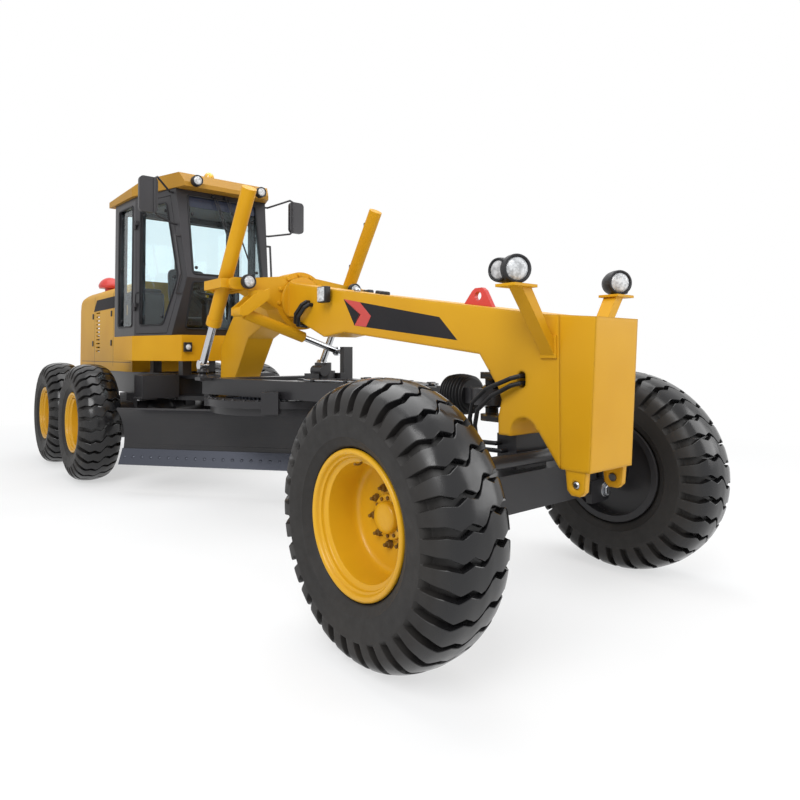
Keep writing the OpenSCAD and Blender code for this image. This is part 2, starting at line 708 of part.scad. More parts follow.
// Circle and blade are built in the blade's own directions, turned about the circle's middle
blade_back = 247;
blade_shift = -160;
pivot_v = -blade_back - 275;
pivot_z = blade_z + 170;
pivot_r = 40;
arm_u0 = 500;
arm_u1 = 555;
module in_blade_frame() { translate([circle_x, 0, 0]) rotate(blade_angle) children(); }
// A plate across the blade: points are [forward, up], between u0 and u1 along the blade
module plate_vz(points, u0, u1) {
    translate([u0, 0, 0]) rotate([90, 0, 90]) linear_extrude(u1 - u0) polygon([for (p = points) [-p.x, p.y]]);
}
module turn_circle() {
    color(black) {
        translate([circle_x, 0, 0]) rotate_extrude() polygon([
            [circle_in_r, web_low_z], [web_r, web_low_z], [web_r, flange_low_z], [circle_r, flange_low_z],
            [circle_r, circle_top_z], [circle_in_r, circle_top_z]]);
        in_blade_frame() for (u = [-arm_u1, arm_u0]) difference() {
            union() {
                plate_vz([[-260, web_low_z + 10], [-425, web_low_z + 10], [-430, web_low_z],
                    [pivot_v - 30, 850],
                          [pivot_v - 60, pivot_z], [pivot_v + 40, pivot_z - 30], [pivot_v + 55, 600],
                          [pivot_v + 55, 830], [-360, 900], [-290, web_low_z]], u, u + arm_u1 - arm_u0);
                cyl_x(u, u + arm_u1 - arm_u0, -pivot_v, pivot_z, 70);
            }
            cyl_x(u - 10, u + 100, -pivot_v, pivot_z, pivot_r + run_gap);
        }
    }
}
// Blade section: an arc that is concave towards the front
blade_top_v = -blade_back + 60;
chord_tilt = atan2(60, blade_h);
chord = norm([60, blade_h]);
sag_side = sqrt(blade_r * blade_r - chord * chord / 4);
arc_v = -blade_back + 30 + sag_side * cos(chord_tilt);
arc_z = blade_z + blade_h / 2 - sag_side * sin(chord_tilt);
low_angle = atan2(blade_z - arc_z, -blade_back - arc_v);
high_angle = atan2(blade_z + blade_h - arc_z, blade_top_v - arc_v);
lower_rail_z = blade_z + 135;
upper_rail_z = blade_z + 420;
rail_section = [62, 60];
function back_v(z) = arc_v - sqrt(pow(blade_r + blade_t, 2) - pow(z - arc_z, 2));
function rail_v(z) = back_v(z) - 46;
rail_half_l = blade_l / 2 - 120;
module in_blade_slide() { in_blade_frame() translate([blade_shift, 0, 0]) children(); }
function full(a) = a < 0 ? a + 360 : a;
module moldboard() {
    a0 = full(low_angle);
    a1 = full(high_angle);
    color(black) in_blade_slide() {
        plate_vz(concat(arc(arc_v, arc_z, blade_r, a0, a1, 24), arc(arc_v, arc_z, blade_r + blade_t, a1,
            a0, 24)),
                 -blade_l / 2, blade_l / 2);
        for (z = [lower_rail_z, upper_rail_z]) plate_vz(
            [[rail_v(z), z], [rail_v(z) + 60, z], [rail_v(z) + 60, z + rail_section.y],
                [rail_v(z), z + rail_section.y]],
            -rail_half_l, rail_half_l);
    }
}
module cutting_edge() {
    edge_h = 150;
    edge_t = 18;
    color(dark_grey) in_blade_slide() difference() {
        plate_vz([[-blade_back + edge_t + 4, blade_z - 8], [-blade_back - 4, blade_z - 8],
            [-blade_back - 70, blade_z + edge_h],
                  [-blade_back - 70 + edge_t, blade_z + edge_h]], -blade_l / 2, blade_l / 2);
        difference() {
            cyl_x(-blade_l, blade_l, -arc_v, arc_z, 2 * blade_r);
            cyl_x(-blade_l, blade_l, -arc_v, arc_z, blade_r - seat_gap);
        }
    }
}
module blade_carrier() {
    plate_u0 = 395;
    plate_u1 = 455;
    slack = seat_gap;
    color(black) in_blade_frame() {
        cyl_x(-arm_u1 - 5, arm_u1 + 5, -pivot_v, pivot_z, pivot_r);
        for (u = [-plate_u1, plate_u0]) difference() {
            plate_vz([[pivot_v - 45, pivot_z - 55], [-blade_back - 90, lower_rail_z - 40],
                [-blade_back - 90, upper_rail_z + 95],
                      [rail_v(upper_rail_z) - 50, upper_rail_z + 95],
                          [pivot_v - 45, pivot_z + 70]], u, u + plate_u1 - plate_u0);
            cyl_x(-2000, 2000, -arc_v, arc_z, blade_r + blade_t + 6);
            for (z = [lower_rail_z, upper_rail_z]) plate_vz(
                [[rail_v(z) - slack, z - slack], [0, z - slack], [0, z + rail_section.y + slack],
                 [rail_v(z) - slack, z + rail_section.y + slack]], -2000, 2000);
        }
    }
}

// Lamps: pods beside the nose, work lamps on the neck and on the saddle's arms
lamp_y = 485;
lamp_z = 1892;
lamp_x = front_x + 335;
lamp_r = 76;
lamp_l = 165;
pod_turn = -29;
side_lens_y = 107;
side_lens_r = 60;
side_lens_turn = 61;
pod_low_z = lamp_z - lamp_r - 1;
foot_x = front_x + 320;
module lamp_brackets() {
    arm_half_x = 40;
    foot_low_z = nose_top_z - 210;
    plate_t = 14;
    color(yellow) both() {
        box([foot_x - 50, nose_half_w, foot_low_z], [foot_x + 50, nose_half_w + 12, foot_low_z + 120]);
        plate_yz([[nose_half_w + 11, foot_low_z + 14], [nose_half_w + 11, foot_low_z + 92],
                  [lamp_y - 85, pod_low_z - plate_t], [lamp_y - 5, pod_low_z - plate_t]],
                 foot_x - arm_half_x, foot_x + arm_half_x);
        box([foot_x - 62, lamp_y - 105, pod_low_z - plate_t - 1], [foot_x + 62, lamp_y + 75, pod_low_z]);
    }
}
module lamp_pod(s) {
    translate([lamp_x, s * lamp_y, lamp_z]) rotate(pod_turn) {
        rotate([0, -90, 0]) rotate_extrude() polygon([[0, 0], [lamp_r, 0], [lamp_r, 70], [lamp_r - 12, 115],
                                                      [lamp_r - 40, 150], [0, lamp_l]]);
        translate([0, s * side_lens_y, 0]) rotate(s * side_lens_turn) cyl_x(-80, 0, 0, 0, side_lens_r);
        box([-95, -40, -lamp_r - 1], [-20, 40, -lamp_r + 30]);
    }
}
module front_lamps() {
    neck_lamp_x = drum_x1 + 610;
    neck_lamp_z = drum_z - 72;
    arm_lamp_y = arm_y + 17;
    arm_lamp_x = saddle_x1 + seat_gap;
    color(black) {
        for (s = [-1, 1]) lamp_pod(s);
        difference() {
            both() box([neck_lamp_x, neck_half_w, neck_lamp_z],
                [neck_lamp_x + 110, neck_half_w + 100, neck_lamp_z + 130]);
            plate_xy(neck_plan(seat_gap), 0, neck_reach);
        }
        both() {
            cyl_x(arm_lamp_x, arm_lamp_x + 34, arm_lamp_y, lift_z + 14, 44);
            cyl_x(arm_lamp_x + 24, arm_lamp_x + 66, arm_lamp_y, lift_z + 14, 62);
        }
    }
}

// Rear frame, axle and tandem cases
cab_pad_x = [hinge_x - 310, hinge_x - 1250];
frame_half_w = 400;
rail_in_y = frame_half_w - 100;
module rear_frame() {
    body_x = hinge_x - 450;
    bumper_x = rear_end_x + 95;
    color(black) difference() {
        union() {
            both() box([bumper_x - 5, rail_in_y, frame_low_z], [body_x, frame_half_w, frame_top_z]);
            box([body_x - 100, -frame_half_w, frame_low_z], [body_x, frame_half_w, frame_top_z]);
            box([tandem_x - 60, -frame_half_w, frame_low_z + 40],
                [tandem_x + 60, frame_half_w, frame_top_z - 40]);
            for (z = [frame_low_z, frame_top_z - fork_t]) {
                plate_xy(mirrored([[body_x - 50, frame_half_w], [hinge_x, 140]]), z, z + fork_t);
                cyl_z(z, z + fork_t, hinge_x, 0, 140);
            }
            cyl_z(frame_low_z - 8, frame_top_z + 8, hinge_x, 0, hinge_pin_r);
            both() for (x = cab_pad_x) box([x - 60, rail_in_y, frame_top_z - 10],
                [x + 60, frame_half_w, cab_floor_z]);
            box([rear_end_x, -520, frame_low_z], [bumper_x, 520, frame_top_z]);
        }
        cyl_z(frame_low_z - 50, frame_top_z + 50, rear_end_x + 48, 0, 26);
    }
}
module tandem_axle() {
    case_r = 215;
    case_y0 = 600;
    case_y1 = wheel_y - 240;
    color(black) {
        cyl_y(-case_y0 - 10, case_y0 + 10, tandem_x, wheel_z, 165);
        translate([tandem_x, 0, wheel_z]) sphere(250);
        both() {
            box([tandem_x - 150, 330, wheel_z], [tandem_x + 150, 470, frame_low_z]);
            box([rear_x, case_y0, wheel_z - case_r], [mid_x, case_y1, wheel_z + case_r]);
            for (x = [mid_x, rear_x]) {
                cyl_y(case_y0, case_y1, x, wheel_z, case_r);
                cyl_y(case_y1 - 5, hub_seat_y, x, wheel_z, 105);
                cyl_y(case_y1 - 5, spindle_end_y, x, wheel_z, spindle_r);
            }
        }
    }
}

// Hood over the engine
cab_front_x = hinge_x + 60;
b_post_x = cab_front_x - 880;
cab_rear_x = b_post_x - 620;
hood_front_x = cab_rear_x - 100;
hood_rear_x = rear_end_x + 95;
hood_rear_drop = 80;
module hood_form(inset) {
    r = 130 - inset;
    w = hood_half_w - inset;
    top = hood_top_z - inset;
    intersection() {
        translate([hood_rear_x - 500, 0, 0]) rotate([90, 0, 90]) linear_extrude(4000) union() {
            translate([-w, 0]) square([2 * w, top - r]);
            translate([-w + r, 0]) square([2 * (w - r), top]);
            for (s = [-1, 1]) translate([s * (w - r), top - r]) circle(r);
        }
        plate_xz([[hood_rear_x + inset, frame_top_z - inset], [hood_front_x - inset, frame_top_z - inset],
            [hood_front_x - inset, top],
                  [hood_rear_x + 400, top], [hood_rear_x + 110, top - hood_rear_drop],
                  [hood_rear_x + 30 + inset, top - hood_rear_drop - 70],
                      [hood_rear_x + inset, top - hood_rear_drop - 180]],
                 -1000, 1000);
    }
}
slot_x = hood_front_x - 1690;
slot_l = 190;
slot_h = 18;
slot_z0 = frame_top_z + 260;
slot_pitch = 55;
slot_count = 11;
grille_top_z = hood_top_z - 310;
module hood() {
    color(yellow) difference() {
        hood_form(0);
        hood_form(hood_wall);
        box([hood_rear_x - 50, -hood_half_w + 60, frame_top_z + 60],
            [hood_rear_x + 60, hood_half_w - 60, grille_top_z]);
        for (i = [0:slot_count - 1])
            box([slot_x, -1000, slot_z0 + i * slot_pitch], [slot_x + slot_l, 1000,
                slot_z0 + slot_h + i * slot_pitch]);
    }
}
module rear_grille() {
    half = hood_half_w - 60;
    slats = 14;
    pitch = (grille_top_z - frame_top_z - 60) / slats;
    color(black) difference() {
        box([hood_rear_x, -half, frame_top_z + 60], [hood_rear_x + hood_wall, half, grille_top_z]);
        for (i = [0:slats - 1]) for (s = [-1, 1])
            box([hood_rear_x - 10, s > 0 ? 15 : -half + 40, frame_top_z + 60 + (i + 0.25) * pitch],
                [hood_rear_x + 100, s > 0 ? half - 40 : -15, frame_top_z + 60 + (i + 0.75) * pitch]);
    }
}
module engine_block() {
    block_l = 1350;
    half_w = hood_half_w - 165;
    x1 = hood_front_x - 360;
    color(dark_grey) box([x1 - block_l, -half_w, frame_top_z], [x1, half_w, hood_top_z - 440]);
}
module exhaust() {
    x = hood_front_x - 560;
    y = hood_half_w - 295;
    stack_h = 560;
    stack_r = 55;
    foot_r = 90;
    color(dark_grey) difference() {
        union() {
            cyl_z(hood_top_z, hood_top_z + stack_h, x, y, stack_r);
            cyl_z(hood_top_z, hood_top_z + 30, x, y, foot_r);
        }
        cyl_z(hood_top_z + 200, hood_top_z + stack_h + 100, x, y, stack_r - 7);
        translate([x, y, hood_top_z + stack_h]) rotate([0, -35, 0]) translate([-200, -200, 0]) cube(400);
    }
}
module air_cleaner() {
    neck_r = 70;
    neck_h = 60;
    dome_r = 165;
    color(red) translate([hood_rear_x + 800, -hood_half_w + 215, hood_top_z]) rotate_extrude() polygon(concat(
        [[0, 0], [neck_r, 0], [neck_r, neck_h], [dome_r - 15, neck_h]], arc(0, neck_h, dome_r, 12, 90, 10)));
}

// Cab: base, framed shell with cut windows, roof, glass and doors
cab_base_z = cab_floor_z + cab_base_h;
cab_top_z = roof_z - 160;
waist_z = 2280;
cab_foot_x = cab_front_x - 240;
cab_brow_x = cab_front_x - 200;
front_half = 480;
b_half = 750;
rear_half = 790;
taper = (b_half - front_half) / (cab_front_x - b_post_x);
function wall_y(x) = front_half + (cab_front_x - x) * taper;
module cab_form(inset, z0, z1) {
    intersection() {
        plate_xy(mirrored([[cab_front_x - inset + 60, front_half - inset - 60 * taper],
            [b_post_x, b_half - inset],
                           [cab_rear_x + inset, rear_half - inset]]), z0, z1);
        plate_xz([[cab_foot_x - inset, cab_base_z - 300], [cab_foot_x - inset, cab_base_z],
            [cab_front_x - inset, waist_z],
                  [cab_brow_x - inset, cab_top_z], [cab_brow_x - inset, cab_top_z + 300],
                      [cab_rear_x - 10, cab_top_z + 300],
                  [cab_rear_x - 10, cab_base_z - 300]], -1000, 1000);
    }
}
module cab_wall_between(inner, outer) {
    difference() {
        cab_form(outer, cab_base_z, cab_top_z);
        cab_form(inner, cab_base_z - 1, cab_top_z + 1);
    }
}
a_post = 75;
door_outline = [[cab_foot_x - a_post, cab_base_z + 20], [cab_front_x - a_post, waist_z],
    [cab_brow_x - a_post, cab_top_z - 70],
                [b_post_x + 30, cab_top_z - 70], [b_post_x + 30, cab_base_z + 20]];
door_gap = 6;
door_edge = [[door_outline[0].x - door_gap, door_outline[0].y + door_gap],
    [door_outline[1].x - door_gap, waist_z],
             [door_outline[2].x - door_gap, door_outline[2].y - door_gap],
                 [door_outline[3].x + door_gap, door_outline[3].y - door_gap],
             [door_outline[4].x + door_gap, door_outline[4].y + door_gap]];
door_stile = 62;
door_hinge_x = b_post_x + 30;
door_hinge_y = wall_y(door_hinge_x) + 19;
door_pin_r = 9;
hinge_knuckle_r = 16;
hinge_knuckle_h = 45;
hinge_heights = [cab_base_z + 330, cab_top_z - 330];
door_window = [[door_edge[0].x - door_stile, door_edge[0].y + 90], [door_edge[1].x - door_stile, waist_z],
               [door_edge[2].x - door_stile, door_edge[2].y - door_stile],
                   [door_edge[3].x + door_stile, door_edge[3].y - door_stile],
               [door_edge[4].x + door_stile, door_edge[4].y + 90]];
quarter_window = [[b_post_x - 60, cab_base_z + 110], [b_post_x - 60, cab_top_z - 90],
    [cab_rear_x + 130, cab_top_z - 90],
                  [cab_rear_x + 130, cab_base_z + 110]];
module window_cuts() {
    half = front_half - 70;
    box([cab_foot_x - 60, -half, cab_base_z + 70], [cab_front_x + 60, half, waist_z - 40]);
    box([cab_brow_x - 60, -half, waist_z + 40], [cab_front_x + 60, half, cab_top_z - 60]);
    both() plate_xz(quarter_window, 500, 1000);
    box([cab_rear_x - 60, -rear_half + 130, cab_base_z + 260],
        [cab_rear_x + 100, rear_half - 130, cab_top_z - 90]);
}
// Grab rail points on a front post: [along the machine, height]
rail_tube_r = 12;
rail_top = [cab_front_x - 122, waist_z + 450];
rail_mid = [cab_front_x - 34, waist_z + 30];
rail_low = [cab_front_x - 100, waist_z - 170];
rail_off = 52;
function rail_point(at, off) = [at.x, wall_y(at.x) + off, at.y];
module cab_frame() {
    color(dark_grey) {
        difference() {
            cab_wall_between(cab_wall, 0);
            window_cuts();
            both() plate_xz(door_outline, 200, 1000);
        }
        both() rod([rail_point(rail_top, -12), rail_point(rail_top, rail_off), rail_point(rail_mid, rail_off),
                    rail_point(rail_low, rail_off), rail_point(rail_low, -12)], rail_tube_r);
        both() for (z = hinge_heights) {
            box([door_hinge_x - 45, wall_y(door_hinge_x) - 8, z - hinge_knuckle_h],
                [door_hinge_x, door_hinge_y, z - seat_gap]);
            cyl_z(z - hinge_knuckle_h, z - seat_gap, door_hinge_x, door_hinge_y, hinge_knuckle_r);
            cyl_z(z - hinge_knuckle_h, z + hinge_knuckle_h, door_hinge_x, door_hinge_y, door_pin_r);
        }
    }
}
glass_at = (cab_wall - glass_t) / 2;
module cab_glass() {
    color(clear_blue) intersection() {
        cab_wall_between(glass_at + glass_t, glass_at);
        window_cuts();
    }
}
module door() {
    color(dark_grey) difference() {
        union() {
            intersection() {
                cab_wall_between(cab_wall, 0);
                difference() {
                    plate_xz(door_edge, 200, 1000);
                    plate_xz(door_window, 100, 1100);
                }
            }
            for (z = hinge_heights) {
                box([door_hinge_x + 4, door_hinge_y - 45, z], [door_hinge_x + 45, door_hinge_y + 4,
                    z + hinge_knuckle_h]);
                cyl_z(z, z + hinge_knuckle_h, door_hinge_x, door_hinge_y, hinge_knuckle_r);
            }
        }
        cyl_z(cab_base_z, cab_top_z, door_hinge_x, door_hinge_y, door_pin_r + run_gap);
    }
}
module door_glass() {
    color(clear_blue) intersection() {
        cab_wall_between(glass_at + glass_t, glass_at);
        plate_xz(door_window, 200, 1000);
    }
}
module door_left() { door(); }
module door_right() { right() door(); }
module door_glass_left() { door_glass(); }
module door_glass_right() { right() door_glass(); }
module cab_base() {
    color(yellow) difference() {
        plate_xy(mirrored([[cab_foot_x + 150, front_half + 20], [b_post_x, b_half + 20],
            [cab_rear_x, rear_half + 10]]),
                 cab_floor_z, cab_base_z);
        plate_xy(mirrored([[cab_foot_x - 20, front_half - 10], [b_post_x, b_half - 40],
            [cab_rear_x + 50, rear_half - 50]]),
                 cab_floor_z + 60, cab_base_z + 100);
    }
}
module cab_roof() {
    color(yellow) intersection() {
        plate_xy(mirrored([[cab_front_x - 40, front_half + 20], [b_post_x, b_half + 40],
            [cab_rear_x - 130, rear_half + 40]]),
                 cab_top_z, roof_z);
        plate_xz([[cab_front_x, cab_top_z], [cab_front_x - 50, cab_top_z + 60],
            [cab_front_x - 130, roof_z], [cab_rear_x - 40, roof_z],
                  [cab_rear_x - 130, cab_top_z + 70], [cab_rear_x - 130, cab_top_z]], -1000, 1000);
        plate_yz(concat([for (p = [[rear_half + 50, cab_top_z], [rear_half + 50, cab_top_z + 60],
            [rear_half - 60, roof_z]]) p],
                        [[-rear_half + 60, roof_z], [-rear_half - 50, cab_top_z + 60],
                            [-rear_half - 50, cab_top_z]]), -3000, 0);
    }
}
module seat() {
    x = b_post_x - 110;
    z = cab_floor_z + 60;
    cushion_z = z + 330;
    cushion_half_w = 260;
    back_half_w = 240;
    color(black) {
        box([x - 150, -150, z], [x + 150, 150, cushion_z]);
        box([x - 220, -cushion_half_w, cushion_z], [x + 240, cushion_half_w, cushion_z + 120]);
        plate_xz([[x - 220, cushion_z + 110], [x - 100, cushion_z + 110], [x - 210, cushion_z + 750],
                  [x - 310, cushion_z + 750]], -back_half_w, back_half_w);
    }
}
module steering_console() {
    x = cab_front_x - 460;
    z = cab_floor_z + 60;
    post_h = 640;
    half_w = 110;
    wheel_r = 190;
    wheel_tilt = 25;
    color(dark_grey) {
        plate_xz([[x - 50, z], [x + 170, z], [x + 90, z + post_h], [x - 30, z + post_h]], -half_w, half_w);
        translate([x, 0, z + post_h + 60]) rotate([0, wheel_tilt, 0]) {
            rotate_extrude() translate([wheel_r, 0]) circle(16);
            translate([0, 0, -90]) cylinder(h = 100, r = 35);
            for (a = [0, 120, 240]) rotate(a) translate([0, -14, -8]) cube([wheel_r - 5, 28, 16]);
        }
    }
}
module mirrors() {
    x = cab_front_x - 50;
    y = front_half + 400;
    z = cab_top_z - 160;
    half_w = 95;
    half_h = 185;
    half_t = 22;
    round_r = 45;
    tube_r = 11;
    tube_x = x + half_t + tube_r - 4;
    tube_y = y - 60;
    // Feet stand square on the cab's slanting side
    foot_x = [cab_brow_x - 40, cab_brow_x + 26];
    foot_z = [cab_top_z - 45, cab_top_z - 400];
    out = [taper, 1, 0] / norm([taper, 1]);
    foot = [for (i = [0, 1]) [foot_x[i], wall_y(foot_x[i]), foot_z[i]] + 2 * seat_gap * out];
    color(dark_grey) both() {
        box([x - half_t, y - half_w, z - half_h + round_r], [x + half_t, y + half_w, z + half_h - round_r]);
        box([x - half_t, y - half_w + round_r, z - half_h], [x + half_t, y + half_w - round_r, z + half_h]);
        for (sy = [-1, 1]) for (sz = [-1, 1])
            cyl_x(x - half_t, x + half_t, y + sy * (half_w - round_r), z + sz * (half_h - round_r), round_r);
        rod([foot[0], foot[0] + 40 * out, [tube_x - 20, tube_y - 30, z + half_h + 12],
             [tube_x, tube_y, z + half_h - 10], [tube_x, tube_y, z - half_h + 10],
             [tube_x - 20, tube_y - 30, z - half_h - 20], foot[1] + 40 * out, foot[1]], tube_r);
    }
}
module cab_lamps() {
    skirt_x = cab_foot_x + 150;
    skirt_z = cab_floor_z + 100;
    color(black) both() {
        cyl_x(cab_front_x - 40, cab_front_x + 20, front_half - 100, cab_top_z + 60, 58);
        box([skirt_x, front_half - 80, skirt_z], [skirt_x + 40, front_half, skirt_z + 100]);
        box([rear_end_x + 20, 420, frame_top_z], [rear_end_x + 90, 510, frame_top_z + 90]);
    }
}
module beacon() {
    color(yellow) translate([cab_front_x - 570, 0, roof_z]) rotate_extrude()
        polygon(concat([[0, 0], [75, 0], [75, 30], [62, 40], [60, 130]], arc(0, 130, 60, 10, 90, 8)));
}
module step_boxes() {
    x0 = hinge_x - 630;
    x1 = hinge_x - 350;
    color(black) both() {
        box([x0, frame_half_w, frame_low_z + 35], [x1, frame_half_w + 400, frame_top_z - 5]);
        box([x0 + 20, frame_half_w + 240, frame_low_z + 20], [x1 - 20, frame_half_w + 420, frame_low_z + 40]);
    }
}

rear_frame();
tandem_axle();
hood();
engine_block();
rear_grille();
exhaust();
air_cleaner();
cab_base();
cab_frame();
cab_roof();
cab_glass();
seat();
steering_console();
mirrors();
cab_lamps();
beacon();
step_boxes();
gooseneck();
hoses();
saddle();
front_axle();
lifting_lug();
lamp_brackets();
front_lamps();
lean_yoke_left();
lean_yoke_right();
lean_bar();
knuckle_left();
knuckle_right();
tyre_front_left();
tyre_front_right();
tyre_mid_left();
tyre_mid_right();
tyre_rear_left();
tyre_rear_right();
rim_front_left();
rim_front_right();
rim_mid_left();
rim_mid_right();
rim_rear_left();
rim_rear_right();
ball_bearing();
drawbar();
drawbar_boot();
turn_circle();
blade_carrier();
moldboard();
cutting_edge();
lift_yoke_left();
lift_yoke_right();
lift_barrel_left();
lift_barrel_right();
lift_rod_left();
lift_rod_right();
shift_barrel();
shift_rod();
door_left();
door_right();
door_glass_left();
door_glass_right();
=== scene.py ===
"""Motor grader: tyres, rims, finishes, lamps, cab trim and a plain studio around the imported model."""
import json
import math

import bmesh
import bpy
import numpy as np
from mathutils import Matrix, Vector


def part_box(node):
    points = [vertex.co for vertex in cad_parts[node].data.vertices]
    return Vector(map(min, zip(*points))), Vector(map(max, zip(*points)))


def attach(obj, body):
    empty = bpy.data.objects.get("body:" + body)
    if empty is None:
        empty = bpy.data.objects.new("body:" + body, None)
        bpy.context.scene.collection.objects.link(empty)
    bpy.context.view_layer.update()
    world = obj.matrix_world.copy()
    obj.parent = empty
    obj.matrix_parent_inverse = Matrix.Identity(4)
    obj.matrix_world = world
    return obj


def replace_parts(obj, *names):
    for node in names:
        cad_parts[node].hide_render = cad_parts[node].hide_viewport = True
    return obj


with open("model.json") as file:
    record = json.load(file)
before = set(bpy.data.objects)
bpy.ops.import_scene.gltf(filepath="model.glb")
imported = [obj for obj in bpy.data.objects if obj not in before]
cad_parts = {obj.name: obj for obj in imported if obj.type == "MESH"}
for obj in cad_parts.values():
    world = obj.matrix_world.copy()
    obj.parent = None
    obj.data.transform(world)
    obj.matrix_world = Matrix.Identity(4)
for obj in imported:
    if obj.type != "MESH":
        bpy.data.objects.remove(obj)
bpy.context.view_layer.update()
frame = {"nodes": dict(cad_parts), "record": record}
NODES = frame["nodes"]

# Places of the machine in metres, as in the part's source
FRONT_X = 3.81
MID_X = -1.64
REAR_X = -3.178
WHEEL_Y = 1.078
WHEEL_Z = 0.675
SIDES = {"left": 1.0, "right": -1.0}
WHEELS = {"front": FRONT_X, "mid": MID_X, "rear": REAR_X}

# Colours as linear values
YELLOW = (0.66, 0.345, 0.012)
YELLOW_DEEP = (0.57, 0.28, 0.008)
BLACK = (0.012, 0.012, 0.014)
CHARCOAL = (0.024, 0.023, 0.025)
GREY = (0.04, 0.038, 0.042)
DUST = (0.13, 0.105, 0.075)
RED = (0.62, 0.055, 0.045)
STEEL = (0.56, 0.57, 0.59)
AMBER = (0.95, 0.52, 0.02)
LENS = (0.64, 0.65, 0.66)


# Meshes from arrays

def grid_faces(rows, cols, wrap_rows=False, wrap_cols=False):
    """Quads of a rows by cols grid: each joins a point to its next along the row and the next row's pair."""
    r = np.arange(rows if wrap_rows else rows - 1)
    c = np.arange(cols if wrap_cols else cols - 1)
    a, b = np.meshgrid(r, c, indexing="ij")
    down, along = (a + 1) % rows, (b + 1) % cols
    return np.stack([a * cols + b, a * cols + along, down * cols + along, down * cols + b], -1).reshape(-1, 4)


def sheet_shape(grid, wrap_rows=False, wrap_cols=False):
    """A shape, which is points and quads, from a grid of points."""
    rows, cols = grid.shape[:2]
    return grid.reshape(-1, 3), grid_faces(rows, cols, wrap_rows, wrap_cols)


def join_shapes(shapes):
    """Several shapes as one: points are stacked and each shape's quads are shifted by the points before it."""
    counts = np.cumsum([0] + [len(s[0]) for s in shapes[:-1]])
    return np.concatenate([s[0] for s in shapes]), np.concatenate([s[1] + n for s, n in zip(shapes, counts)])


def moved(shape, offset):
    """The shape with one offset added to all points."""
    return shape[0] + np.asarray(offset, float), shape[1]


def repeated(shape, turns, offsets):
    """Copies of a shape: each copy's points are turned by its matrix and moved by its offset."""
    points = np.einsum("kij,nj->kni", turns, shape[0]) + np.asarray(offsets, float)[:, None]
    count, size = points.shape[:2]
    faces = shape[1][None] + (np.arange(count) * size)[:, None, None]
    return points.reshape(-1, 3), faces.reshape(-1, 4)


def mirrored(shape):
    """The shape reflected from the left side to the right, with its quads turned round."""
    return shape[0] * np.array([1.0, -1.0, 1.0]), shape[1][:, ::-1]


def sided(shape, side):
    """The shape as it is for the left side, 1, or reflected for the right, -1."""
    return shape if side > 0 else mirrored(shape)


def both_sides(shape):
    """The shape and its reflection together."""
    return join_shapes([shape, mirrored(shape)])


def unit(v):
    """The direction of v, with length 1."""
    v = np.asarray(v, float)
    return v / np.linalg.norm(v, axis=-1, keepdims=True)


def cross_frame(axis):
    """Two directions at right angles to an axis and to each other."""
    axis = unit(axis)
    spare = np.where(np.abs(axis[..., 2:]) > 0.9, [1.0, 0.0, 0.0], [0.0, 0.0, 1.0])
    first = unit(np.cross(spare, axis))
    return first, np.cross(axis, first)


def lathe(profile, origin=(0, 0, 0), axis=(0, 0, 1), sides=32):
    """A profile of radius and height turned about an axis: origin + height along it + radius round it."""
    profile = np.asarray(profile, float)
    first, second = cross_frame(axis)
    angle = np.linspace(0, 2 * np.pi, sides, endpoint=False)
    ring = np.cos(angle)[:, None] * first + np.sin(angle)[:, None] * second
    grid = (np.asarray(origin, float) + profile[:, 1, None, None] * unit(axis)
            + profile[:, 0, None, None] * ring[None])
    return sheet_shape(grid, wrap_cols=True)


def smooth_line(points, count):
    """A Catmull-Rom curve through the points, sampled at count places."""
    p = np.asarray(points, float)
    p = np.concatenate([2 * p[:1] - p[1:2], p, 2 * p[-1:] - p[-2:-1]])
    place = np.linspace(0, len(p) - 3 - 1e-9, count)
    i = place.astype(int)
    t = (place - i)[:, None]
    a, b, c, d = p[i], p[i + 1], p[i + 2], p[i + 3]
    return 0.5 * (2 * b + (c - a) * t + (2 * a - 5 * b + 4 * c - d) * t ** 2 + (3 * b - a - 3 * c + d) * t ** 3)


def swept_ring(path, along, radius, sides, spare):
    """Circles round the points of a path, each square to the path's direction there."""
    first = unit(np.cross(along, spare))
    second = np.cross(along, first)
    angle = np.linspace(0, 2 * np.pi, sides, endpoint=False)
    ring = np.cos(angle)[None, :, None] * first[:, None] + np.sin(angle)[None, :, None] * second[:, None]
    return path[:, None] + radius * ring


def tube(path, radius, sides=10):
    """A circle carried along a path, square to its direction, with the ends drawn in to a point."""
    path = np.asarray(path, float)
    spare = np.eye(3)[np.argmin(np.ptp(path, axis=0))]
    grid = swept_ring(path, unit(np.gradient(path, axis=0)), radius, sides, spare)
    ends = [np.repeat(path[k][None, None], sides, 1) for k in (0, -1)]
    return sheet_shape(np.concatenate([ends[0], grid, ends[1]]), wrap_cols=True)


def loop_tube(path, radius, sides=8):
    """A circle carried round a closed path, square to its direction."""
    path = np.asarray(path, float)
    along = unit(np.roll(path, -1, 0) - np.roll(path, 1, 0))
    spare = np.linalg.svd(path - path.mean(0))[2][2]
    return sheet_shape(swept_ring(path, along, radius, sides, spare), wrap_rows=True, wrap_cols=True)


def round_corners(outline, radius, steps=5):
    """A closed flat outline with its corners cut back and rounded by a curve through the corner's pull."""
    p = np.asarray(outline, float)
    back, ahead = unit(np.roll(p, 1, 0) - p), unit(np.roll(p, -1, 0) - p)
    t = np.linspace(0, 1, steps)[None, :, None]
    start, end = (p + radius * back)[:, None], (p + radius * ahead)[:, None]
    return ((1 - t) ** 2 * start + 2 * t * (1 - t) * p[:, None] + t ** 2 * end).reshape(-1, p.shape[1])


